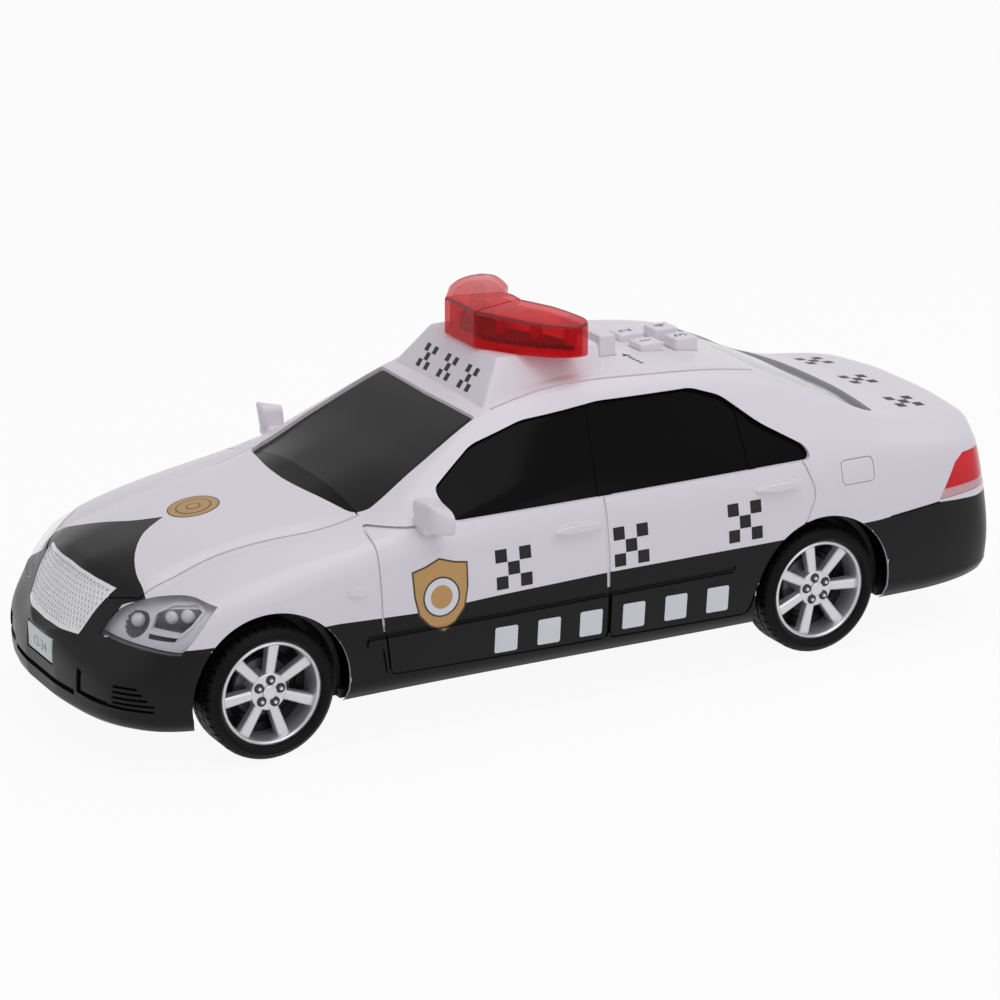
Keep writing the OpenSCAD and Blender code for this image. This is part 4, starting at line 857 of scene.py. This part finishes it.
# %% Tail lamps
lamp_red = Finish("lamp_red", (0.50, 0.008, 0.016), 0.16, specular_ior_level=0.2)
x, y, z = lamp_red.axes()
ribs = lamp_red.node("Math", {"operation": "SINE"}, (x + y) * 5200.0)
deep_red = lamp_red.blend(z.step(0.033, 0.043), (0.66, 0.008, 0.016), (0.86, 0.020, 0.034))
lamp_red.color(lamp_red.blend(z.step(0.0350, 0.0353), (0.72, 0.42, 0.45), deep_red))
lamp_red.rough(lamp_red.noise(90) * 0.08 + 0.13).bump(ribs, 0.12, 0.05 * MM)
tail = layer(0.05, 1.1, prism(tail_lamp, "side", 16.2, FAR_SIDE, shrink=0.15))
for name, turned_over in SIDES:
    piece("tail_lamp_cover_" + name, shade(turned_over(tail.copy()), 28), "car", "red_plastic",
          ["tail_lamp_" + name], lamp_red.material)

# %% [markdown]
# The grille is a bright plated shield: a thin rim, and a net of small diamonds made of two sets of slanting
# bars over a recessed plate. Crossing the bars with a layer of the body form bends the net round the nose. The
# number plate is a block with soft edges in the CAD plate's box, and its made-up digits are a text object that
# is turned into a mesh before it is put in place.

# %% Grille and number plate
grille_outline = whole(grille_half, True)
NET_PITCH, NET_BAR, NET_LEAN = 1.3, 0.42, 0.62
NET_LOW, NET_HIGH = 24, 40
net = []
for k in range(-24, 25):
    for lean in (NET_LEAN, -NET_LEAN):
        reach, half = 8 * lean, NET_BAR / 2
        low, high = k * NET_PITCH - reach, k * NET_PITCH + reach
        slat = [(low - half, NET_LOW), (low + half, NET_LOW), (high + half, NET_HIGH), (high - half, NET_HIGH)]
        net.append(prism(slat, "front", 90, FAR))
net = solid("INTERSECT", solid("UNION", *net), prism(grille_outline, "front", 90, FAR, shrink=0.5))
net = layer(0.22, 1.15, net)
grille_plate = layer(0.42, 1.15, prism(grille_outline, "front", 90, FAR, shrink=0.12))
grille_rim = layer(0.06, 1.15, band(grille_outline, "front", 90, FAR, 0.75))
bright = moulded("bright_plate", (0.84, 0.83, 0.85), 0.26, 0.04, 500, 0.02, metallic=0.45)
grille = shade(solid("UNION", grille_plate, net, grille_rim), 25)
piece("grille_net", grille, "car", "plated_plastic", ["grille"], bright)


def block(low, high, bevel):
    """A box between two corners in mm with rounded edges."""
    bm = bmesh.new()
    bmesh.ops.create_cube(bm, size=1)
    low, high = Vector(low), Vector(high)
    bmesh.ops.scale(bm, vec=(high - low) * MM, verts=bm.verts)
    bmesh.ops.translate(bm, vec=(low + high) / 2 * MM, verts=bm.verts)
    if bevel:
        bmesh.ops.bevel(bm, geom=bm.edges[:], offset=bevel * MM, segments=3, profile=0.5, affect="EDGES",
                        material=-1)
    return closed(bm, "block")


def digits(words, size, thick, place):
    """Plain numbers as a thin solid; the matrix stands them on their surface."""
    curve = bpy.data.curves.new("digits", "FONT")
    curve.body, curve.size, curve.extrude = words, size * MM, thick * MM
    curve.align_x, curve.align_y = "CENTER", "CENTER"
    holder = bpy.data.objects.new("digits", curve)
    scene.collection.objects.link(holder)
    bpy.context.view_layer.update()
    mesh = bpy.data.meshes.new_from_object(holder.evaluated_get(bpy.context.evaluated_depsgraph_get()))
    bpy.data.objects.remove(holder)
    mesh.transform(place)
    return mesh


plate_low, plate_high = (v * 1000 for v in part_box("front_plate"))
plate_look = moulded("plate_plastic", (0.72, 0.80, 0.77), 0.35, 0.03, 300, 0.02)
piece("number_plate", shade(block(plate_low, plate_high, 0.25)), "car", "plate_plastic", ["front_plate"], plate_look)
ink_green = moulded("plate_ink", (0.10, 0.24, 0.20), 0.4, 0.1)
stand = Matrix(((0, 0, 1, 0), (1, 0, 0, 0), (0, 1, 0, 0), (0, 0, 0, 1)))
stand = Matrix.Translation(Vector((plate_high.x, 0, (plate_low.z + plate_high.z) / 2 - 0.4)) * MM) @ stand
piece("plate_digits", digits("12-34", 3.4, 0.02, stand), "car", "plate_plastic", [], ink_green)

# %% [markdown]
# A door mirror is a rounded shell with a flat back. It starts as a cube whose eight corners are moved, which
# gives its leaning sides at once; its back is inset and pushed in for the mirror glass, the other edges are
# bevelled, and a small foot joins it to the door.

# %% Mirrors
mirror_corners = {
    (1, -1, 1): (45.0, 39.0, 54.8), (1, 1, 1): (42.6, 46.4, 54.6),
    (-1, -1, 1): (38.6, 39.0, 54.2), (-1, 1, 1): (36.9, 46.9, 51.2),
    (1, -1, -1): (44.0, 39.0, 47.4), (1, 1, -1): (41.4, 46.2, 46.2),
    (-1, -1, -1): (38.0, 39.0, 46.4), (-1, 1, -1): (36.9, 46.7, 45.9)}
bm = bmesh.new()
bmesh.ops.create_cube(bm, size=2)
for vert in bm.verts:
    vert.co = Vector(mirror_corners[tuple(round(c) for c in vert.co)]) * MM
back = [f for f in bm.faces if f.calc_center_median().x < 38.5 * MM]
border = bmesh.ops.inset_region(bm, faces=back, thickness=0.7 * MM, use_even_offset=True)["faces"]
bmesh.ops.translate(bm, verts=list({v for f in back for v in f.verts}), vec=(0.6 * MM, 0, 0))
outer = [e for e in bm.edges if not any(f in back or f in border for f in e.link_faces)]
bmesh.ops.bevel(bm, geom=outer, offset=2.0 * MM, segments=6, profile=0.5, affect="EDGES", material=-1,
                clamp_overlap=True)
foot = block((38.2, 36.6, 46.2), (43, 43.4, 49.2), 0.9)
mirror = solid("DIFFERENCE", solid("UNION", closed(bm, "mirror"), foot), loft(0.3))
for name, turned_over in SIDES:
    mesh = shade(turned_over(mirror.copy()), 40)
    piece("mirror_housing_" + name, mesh, "car", "body_plastic", ["mirror_" + name], white_plastic)

# %% [markdown]
# A wheel is turned: tyre and rim are profiles spun round the axle. The tyre gets small cuts across its shoulders
# and two grooves round its tread. The rim's seven spokes are bars with rounded flanks, joined to a hub disc and
# a bright lip, with a dark dish behind them. One wheel is made round the origin and copied to its four places.

# %% Wheel solids
TYRE_R, RIM_R, TYRE_W, NUT_CIRCLE, SPOKES = 15.5, 12.1, 12.0, 2.75, 7


def turned(points, steps=120):
    """A closed profile of radius and width in mm, spun round the y axis."""
    bm = bmesh.new()
    verts = [bm.verts.new(Vector((0, y, r)) * MM) for r, y in points]
    edges = [bm.edges.new((a, b)) for a, b in zip(verts, verts[1:] + verts[:1])]
    bmesh.ops.spin(bm, geom=verts + edges, cent=(0, 0, 0), axis=(0, 1, 0), dvec=(0, 0, 0), angle=2 * math.pi,
                   steps=steps, use_merge=True, use_duplicate=False)
    return closed(bm, "turned")


def arc(center, radius, start, stop, steps):
    """Points of an arc in a profile, its angles in degrees."""
    return [(center[0] + radius * math.sin(math.radians(t)), center[1] + radius * math.cos(math.radians(t)))
            for t in np.linspace(start, stop, steps)]


def around(count, start, make):
    """A piece made at the top of the wheel, repeated round the y axis."""
    bm = bmesh.new()
    for k in range(count):
        part = make()
        part.transform(Matrix.Rotation(math.radians(start) + 2 * math.pi * k / count, 4, "Y"))
        bm.from_mesh(part)
    return closed(bm, "around")


shoulder = 2.6
tyre_profile = [(RIM_R + 0.05, 0.9), (RIM_R + 0.5, 0.15), (13.6, 0)]
tyre_profile += arc((TYRE_R - shoulder, shoulder), shoulder, 150, 90, 7)
for groove in (3.9, 7.4):
    floor_r = TYRE_R - 0.55
    tyre_profile += [(TYRE_R, groove), (floor_r, groove + 0.12), (floor_r, groove + 0.6), (TYRE_R, groove + 0.72)]
tyre_profile += arc((TYRE_R - shoulder, TYRE_W - shoulder), shoulder, 90, 30, 7)
tyre_profile += [(13.75, TYRE_W - 0.02), (13.55, TYRE_W - 0.14), (13.35, TYRE_W - 0.02), (12.9, TYRE_W),
                 (RIM_R + 0.45, TYRE_W - 0.25), (RIM_R + 0.05, TYRE_W - 0.9)]
tyre_solid = turned(tyre_profile, 144)
cuts = [around(44, lean, lambda: block((-0.22, low, TYRE_R - 0.5), (0.22, high, TYRE_R + 1), 0))
        for low, high, lean in ((-0.5, 3.2, 0), (8.8, 12.5, 4))]
cuts.append(around(44, 2, lambda: block((-0.18, 4.9, TYRE_R - 0.4), (0.18, 7.1, TYRE_R + 1), 0)))
tyre_solid = solid("DIFFERENCE", tyre_solid, *cuts)

lip = turned([
    (10.75, 2), (RIM_R, 2), (RIM_R, 10.4), (RIM_R - 0.1, 10.75), (RIM_R - 0.35, 10.95), (RIM_R - 0.7, 11.0),
    (11.15, 10.75), (11.0, 10.2), (10.85, 8.5), (10.75, 6)])
hub = turned([
    (0, 6.5), (4.4, 6.5), (4.4, 9.0), (4.2, 9.35), (3.9, 9.5), (1.7, 9.5), (1.6, 9.95), (1.3, 10.1), (0, 10.1)], 64)


def spoke():
    """One spoke at the top of the wheel, rising a little from the hub to the lip."""
    bm = bmesh.new()
    bmesh.ops.create_cube(bm, size=1)
    for vert in bm.verts:
        out, up, side = vert.co.z > 0, vert.co.y > 0, math.copysign(1, vert.co.x)
        width = (1.5 if out else 1.2) if not up else (1.4 if out else 1.1)
        height = (9.75 if out else 9.25) if up else 7.4
        vert.co = Vector((side * width, height, 11.3 if out else 3.2)) * MM
    long_edges = [e for e in bm.edges if all(v.co.y > 9 * MM for v in e.verts)
                  and abs(e.verts[0].co.z - e.verts[1].co.z) > MM]
    bmesh.ops.bevel(bm, geom=long_edges, offset=0.75 * MM, segments=3, profile=0.5, affect="EDGES", material=-1)
    return closed(bm, "spoke")


def nut():
    """One dark-seated wheel nut at the top of its circle."""
    bm = bmesh.new()
    bmesh.ops.create_cone(bm, cap_ends=True, segments=20, radius1=0.52 * MM, radius2=0.38 * MM, depth=0.9 * MM)
    bmesh.ops.rotate(bm, verts=bm.verts, matrix=Matrix.Rotation(-math.pi / 2, 3, "X"))
    bmesh.ops.translate(bm, verts=bm.verts, vec=Vector((0, 9.7, NUT_CIRCLE)) * MM)
    return closed(bm, "nut")


def nut_seat():
    """The round seat of a nut, spun at the origin and moved up."""
    mesh = turned([(0, 9.2), (1.2, 9.2), (1.15, 9.62), (0, 9.62)], 24)
    mesh.transform(Matrix.Translation(Vector((0, 0, NUT_CIRCLE)) * MM))
    return mesh


rim_solid = solid("UNION", lip, hub, *[around(1, 360 / SPOKES * k, spoke) for k in range(SPOKES)])
seats, nuts = around(5, 0, nut_seat), around(5, 0, nut)
dish = turned([(0, 4.0), (10.85, 4.0), (10.85, 4.9), (8.6, 4.9), (8.2, 4.5), (7.4, 4.5), (7.2, 5.0), (0, 5.2)], 96)
disc = turned([(0, 5.2), (6.6, 5.1), (6.8, 5.3), (6.6, 5.6), (4.6, 5.7), (4.2, 6.0), (0, 6.0)], 96)
print("wheel parts", [len(m.polygons) for m in (tyre_solid, rim_solid, nuts, dish)])

# %% [markdown]
# The same six meshes make all four wheels. Each copy is moved to its place in the mesh itself, so the objects
# stay at the origin; the right-hand copies are scaled by minus one, and their faces are turned round again.
# The wheels of one axle ride on one body.

# %% Wheels in place
WHEEL_IN = 31
rubber = moulded("tyre_rubber", (0.006, 0.006, 0.0065), 0.5, 0.25, 700, 0.02, specular_ior_level=0.1)
rim_silver = moulded("rim_silver", (0.70, 0.70, 0.73), 0.3, 0.05, 700, 0.02, metallic=0.7)
dish_black = moulded("dish_black", (0.006, 0.006, 0.006), 0.35, 0.2, 500, 0.02, specular_ior_level=0.2)
disc_grey = moulded("disc_grey", (0.11, 0.11, 0.12), 0.32, 0.15, 400, 0.03, metallic=0.4)
nut_dark = moulded("nut_dark", (0.012, 0.012, 0.013), 0.3, 0.2)
wheel_parts = [("tyre_tread_", tyre_solid, "tyre_rubber", "tyre_", rubber)]
wheel_parts += [(label, source, "rim_plastic", "rim_", look) for label, source, look in (
    ("rim_spokes_", rim_solid, rim_silver), ("rim_dish_", dish, dish_black), ("rim_disc_", disc, disc_grey),
    ("rim_nut_seats_", seats, nut_dark), ("rim_nuts_", nuts, rim_silver))]
for axle, x, lean in (("front", wheel_x[0], 8), ("rear", wheel_x[1], -10)):
    for name, side in (("left", 1), ("right", -1)):
        put = Matrix.Translation(Vector((x, side * WHEEL_IN, wheel_z)) * MM) @ Matrix.Scale(side, 4, (0, 1, 0))
        put = put @ Matrix.Rotation(math.radians(-lean), 4, "Y")
        place = axle + "_" + name
        for label, source, slot, node, look in wheel_parts:
            mesh = source.copy()
            mesh.transform(put)
            if side < 0:
                mesh.flip_normals()
            piece(label + place, shade(mesh, 32), axle + "_wheels", slot, [node + place], look)

# %% [markdown]
# The pedestal is a white block whose four sides lean in. It starts as a cube whose corners are moved, its edges
# are rounded, and the body form is cut out of it so that it stands on the roof without a gap.

# %% Pedestal
PED_TOP, PED_LOW, PED_FRONT_TOP, PED_FRONT_LOW = 76.0, 65.2, 10.4, 17.9
bm = bmesh.new()
bmesh.ops.create_cube(bm, size=2)
for vert in bm.verts:
    ahead, left, up = vert.co.x > 0, math.copysign(1, vert.co.y), vert.co.z > 0
    reach = (PED_FRONT_TOP if ahead else -16.0) if up else (PED_FRONT_LOW if ahead else -14.7)
    vert.co = Vector((reach, left * (16.6 if up else 23.0), PED_TOP if up else PED_LOW)) * MM
upper = [e for e in bm.edges if max(v.co.z for v in e.verts) > 70 * MM]
bmesh.ops.bevel(bm, geom=upper, offset=0.7 * MM, segments=3, profile=0.5, affect="EDGES", material=-1)
pedestal = solid("DIFFERENCE", closed(bm, "pedestal"), loft(0.02))
piece("pedestal_block", shade(pedestal, 30), "car", "body_plastic", ["lightbar_pedestal"], white_plastic)

# %% [markdown]
# The light bar is a clear red cover over a board with lamps. The cover is one outline pushed up, its top edges
# rounded and its tips lowered; a second, smaller one is cut out of it, and two narrow grooves part the middle
# from the wings. A transmission shader would keep the lamps' light off the board inside, so the red mixes gloss
# with a tinted transparent shader. Clear plastic looks darker along its edges, so the rounded rim is painted an opaque
# dark red, a painted shade.

# %% Light bar
BAR_FALL, BAR_REACH, BAR_RIM = 1.4, 26, 82.5
bar_tip = eased([
    (4.6, 18.0), (0.2, 22.6), (-4.0, 25.2), (-7.4, 25.5), (-9.3, 23.8), (-9.8, 21.0), (-8.8, 15.8), (-7.2, 10.6)], 5)
bar_half = [(11.4, 0), (11.4, 7.2), *bar_tip, (-3.2, 3.6), (-3.2, 0)]
bar_outline = whole(bar_half)


def bar_solid(shrink, low, top, bevel):
    """The bar's outline pushed up, its top falling towards the tips and its upper edge rounded."""
    bm = bmesh.new()
    bm.from_mesh(prism(bar_outline, "top", low, top, shrink=shrink))
    upper = [v for v in bm.verts if v.co.z > (low + top) / 2 * MM]
    for vert in upper:
        vert.co.z -= BAR_FALL * abs(vert.co.y) / BAR_REACH
    if bevel:
        rim = [e for e in bm.edges if all(v in upper for v in e.verts)]
        bmesh.ops.bevel(bm, geom=rim, offset=bevel * MM, segments=3, profile=0.5, affect="EDGES", material=-1,
                        clamp_overlap=True)
    return closed(bm, "bar")


bar_cover = solid("DIFFERENCE", bar_solid(0, 76.12, 85.2, 0.7), bar_solid(1.2, 75, 83.9, 0))
mitres = both(ribbon([(13, 7.9), (-5, 2.7)], "top", 84.0, 90, 0.5))
bar_cover = solid("DIFFERENCE", bar_cover, mitres)
bar_red = Finish("bar_red", (0.80, 0.020, 0.035), 0.05)
bar_red.see_through((0.975, 0.40, 0.42), 0.90 - bar_red.node("LayerWeight", None, 0.35, out="Facing") * 0.6)
bar_red.bump(bar_red.noise(180), 0.08, 0.02 * MM)
# Painted shade: a darker opaque copy of the red for the rounded rim.
rim_red_painted_shade = moulded("rim_red_painted_shade", (0.22, 0.006, 0.010), 0.2, 0.1, 400, 0.01)
# The sloping faces of the upper rim take the painted shade.
for face in bar_cover.polygons:
    face.material_index = int(0.2 < face.normal.z < 0.95 and face.center.z > BAR_RIM * MM)
piece("bar_cover", shade(bar_cover, 32), "car", "red_clear_plastic", ["lightbar_lens"], bar_red.material, rim_red_painted_shade)

# %% [markdown]
# Keys are white blocks with soft edges; a bevelled cube is all they need. The number on each is a thin black
# print that lies on the key and rides with it, so that it goes down when the key is pressed.

# %% Keys
ink_black = moulded("ink_black", (0.008, 0.008, 0.009), 0.38, 0.2, 600, 0.01, specular_ior_level=0.3)
key_white = moulded("key_white", (0.85, 0.81, 0.86), 0.3, 0.012, 1100, 0.02)
KEY_L, KEY_W, KEY_TOP, KEY_LOW = 6.2, 5.7, 70.9, 63.0
for i, (x, y) in enumerate(key_spots):
    name, body = f"key_{i + 1}", f"key_{i + 1}_body"
    cap = block((x - KEY_L / 2, y - KEY_W / 2, KEY_LOW), (x + KEY_L / 2, y + KEY_W / 2, KEY_TOP), 0.5)
    piece(name + "_cap", shade(cap, 40), body, "key_plastic", [name], key_white)
    turn = Matrix.Translation(Vector((x, y, KEY_TOP)) * MM) @ Matrix.Rotation(-math.pi / 2, 4, "Z")
    piece(name + "_digit", digits(str(i + 1), 4.6, 0.02, turn), body, "key_plastic", [], ink_black)
siren = block((-24.76, -9.8, KEY_LOW), (-20.36, 9.8, 75.2), 0.55)
piece("siren_cap", shade(siren, 40), "siren_key_body", "key_plastic", ["siren_key"], key_white)

# %% [markdown]
# The markings are plain shapes printed on the paint: chequered tiles, white bars, a gold shield and a gold
# disc. Each print is a skin of a few hundredths of a millimetre, cut from the body form by its outline, so it
# bends with the panel under it.

# %% Prints
PRINT = (-0.035, 0.05)


def tile(x, z, width, height, n=3):
    """Black squares of a chequered tile, as outlines."""
    w, h, gap, squares = width / n, height / n, 0.06, []
    for i in range(n):
        for j in range(i % 2, n, 2):
            u, v = x + (i - n / 2) * w, z + (j - n / 2) * h
            u1, v1 = x + (i + 1 - n / 2) * w, z + (j + 1 - n / 2) * h
            squares.append(rect(u + gap, v + gap, u1 - gap, v1 - gap))
    return squares


side_tiles = [o for x, z in ((20.5, 35.3), (-9.9, 35.7), (-40.3, 36.4)) for o in tile(x, z, 9.2, 9.2)]
door_tiles = layer(*PRINT, *[on_sides(o) for o in side_tiles])
piece("door_tiles", shade(door_tiles, 40), "car", "black_plastic", [], ink_black)
trunk_tiles = [o for y in (-20, 0, 20) for o in tile(-99.2, y, 7.6, 7.6)]
trunk_tiles = layer(*PRINT, *[prism(o, "top", 45, 60) for o in trunk_tiles])
piece("trunk_tiles", shade(trunk_tiles, 40), "car", "black_plastic", [], ink_black)
ink_white = moulded("ink_white", (0.80, 0.82, 0.86), 0.35, 0.03, 600, 0.01)
bars = [bar((x + 2.9, 15.9), (x - 2.9, 15.8), 6.2) for x in (22.9, 11.9, 1.0, -10.2, -21.4, -32.6)]
door_bars = layer(-0.6, -0.5, *[on_sides(o, 0.5) for o in bars])
piece("door_bars", shade(door_bars, 40), "car", "body_plastic", [], ink_white)

# %% [markdown]
# The shield on the doors and the disc on the hood are plain badges of thin layers, each a little higher and
# smaller than the one below. A bump would not do, because each ring has its own colour and a crisp edge.

# %% Badges
def ring_points(x, y, radius):
    """The outline of a circle."""
    return [(x + radius * math.cos(t), y + radius * math.sin(t)) for t in np.linspace(0, 2 * math.pi, 48, False)]


shield = [
    (46, 38.2), (42.6, 39.0), (39, 40.4), (35.4, 39.2), (32, 38.6), (32.2, 33), (33.2, 28.2), (35.6, 25.2),
    (38.8, 23.5), (42.2, 25.2), (44.8, 28), (45.8, 32.6)]
gold = moulded("gold_print", (0.50, 0.29, 0.11), 0.36, 0.12, 500, 0.02, metallic=0.35)
gold_dark = moulded("gold_dark", (0.045, 0.026, 0.012), 0.4, 0.15, 500, 0.02)


PANEL_TOP = 24.35


def sticker(level, outline, shrink=0):
    """A print on both doors that also climbs over the raised lower panel."""
    form = prism(outline, "side", NEAR_SIDE, FAR_SIDE, shrink=shrink)
    low = solid("INTERSECT", form.copy(), block((0, 20, 10), (80, 70, PANEL_TOP), 0))
    return solid("UNION", layer(-level, 0.05, both(form)), layer(-0.55 - level, 0.05, both(low)))


door_ring = ring_points(39, 31.6, 4.6)
badge = [("shield_edge", sticker(0.03, shield), gold_dark), ("shield_face", sticker(0.05, shield, 0.4), gold)]
for name, level, shrink, look in (
        ("shield_ring", 0.07, 0, gold_dark), ("shield_field", 0.09, 0.4, ink_white), ("shield_core", 0.11, 1.9, gold)):
    badge.append((name, layer(-level, 0.05, on_sides(door_ring, 0, shrink)), look))
for k, radius in enumerate((6.0, 5.7, 4.1, 3.8, 1.7, 1.4)):
    print_on = prism(ring_points(79.3, 0, radius), "top", 35, 60)
    badge.append((f"hood_disc_{k + 1}", layer(-0.03 - 0.02 * k, 0.05, print_on), (gold_dark, gold)[k % 2]))
for name, mesh, look in badge:
    piece(name, shade(mesh, 40), "car", "plated_plastic", [], look)

# %% [markdown]
# The tiles on the pedestal lie on a leaning plane, so they are made flat at the origin and then turned onto it by
# a matrix. The arrow on the roof is a print like those on the doors.

# %% Pedestal tiles
slope = Vector((PED_FRONT_TOP - PED_FRONT_LOW, 0, PED_TOP - PED_LOW)).normalized()
sideways = Vector((0, 1, 0))
leaning = Matrix((sideways, slope, sideways.cross(slope))).transposed().to_4x4()
leaning = Matrix.Translation(Vector((14.5, 0, 70.1)) * MM) @ leaning
bm = bmesh.new()
for y in (-10.2, 0, 10.2):
    for outline in tile(y, 0, 5.6, 6.2):
        bm.from_mesh(prism(outline, "top", -0.3, 0.04))
tiles = closed(bm, "tiles")
tiles.transform(leaning)
piece("pedestal_tiles", shade(tiles, 40), "car", "black_plastic", [], ink_black)
arrow = [prism([(-26.9, 8.9), (-28.3, 11.0), (-25.9, 11.2)], "top", 55, 90)]
for k in range(4):
    y = 11.9 + 1.7 * k
    arrow.append(prism(bar((-27.5, y), (-26.6, y), 1.1), "top", 55, 90))
piece("roof_arrow", shade(layer(*PRINT, *arrow), 40), "car", "black_plastic", [], ink_black)

# %% [markdown]
# The CAD nodes that stay as they are get finishes too: grained black plastic below, turned steel for axles and
# screws, green boards with a faint copper pattern, and the small parts inside. They are found by the material
# slot that the record gives to each node.

# %% Finishes of the CAD nodes
board_green = Finish("board_green", (0.02, 0.13, 0.05), 0.4)
tracks = board_green.node("TexBrick", None, Vector=board_green.place(), Scale=220.0, Mortar_Size=0.04, out=1)
board_green.color(board_green.blend(tracks, (0.015, 0.11, 0.04), (0.05, 0.22, 0.09))).bump(tracks, 0.2, 0.03 * MM)
steel = Finish("turned_steel", (0.62, 0.62, 0.63), 0.3, metallic=1.0)
steel.rough(steel.noise(300) * 0.15 + 0.22).bump(steel.noise(1200), 0.2, 0.02 * MM)
cell_case = Finish("cell_case", (0.55, 0.33, 0.06), 0.32, metallic=0.4)
cell_x = cell_case.axes()[0]
cell_case.color(cell_case.blend(cell_x > 0.018, (0.02, 0.02, 0.022), (0.52, 0.30, 0.05)))
cell_case.rough(cell_case.noise(200) * 0.1 + 0.28)
looks = {
    "chassis_plastic": moulded("chassis_plastic", (0.016, 0.016, 0.017), 0.46, 0.2, 420, 0.05),
    "circuit_board": board_green.material, "screw_steel": steel.material, "axle_steel": steel.material,
    "contact_steel": steel.material, "cell_case": cell_case.material,
    "led_epoxy": moulded("led_epoxy", (0.82, 0.30, 0.30), 0.15, 0.05, 300, 0.02, transmission_weight=0.5),
    "black_plastic": moulded("black_plastic", (0.02, 0.02, 0.022), 0.42, 0.2, 420, 0.04),
    "speaker_frame": moulded("speaker_frame", (0.05, 0.05, 0.055), 0.38, 0.2, 300, 0.04, metallic=0.5),
    "red_plastic": moulded("tray_red", (0.80, 0.025, 0.035), 0.35, 0.1, 420, 0.03),
}
for row in frame["record"]["subparts"]:
    if row["material_slot"] in looks:
        data = frame["nodes"][row["node"]].data
        data.materials.clear()
        data.materials.append(looks[row["material_slot"]])
print("finishes for", len(looks), "slots")
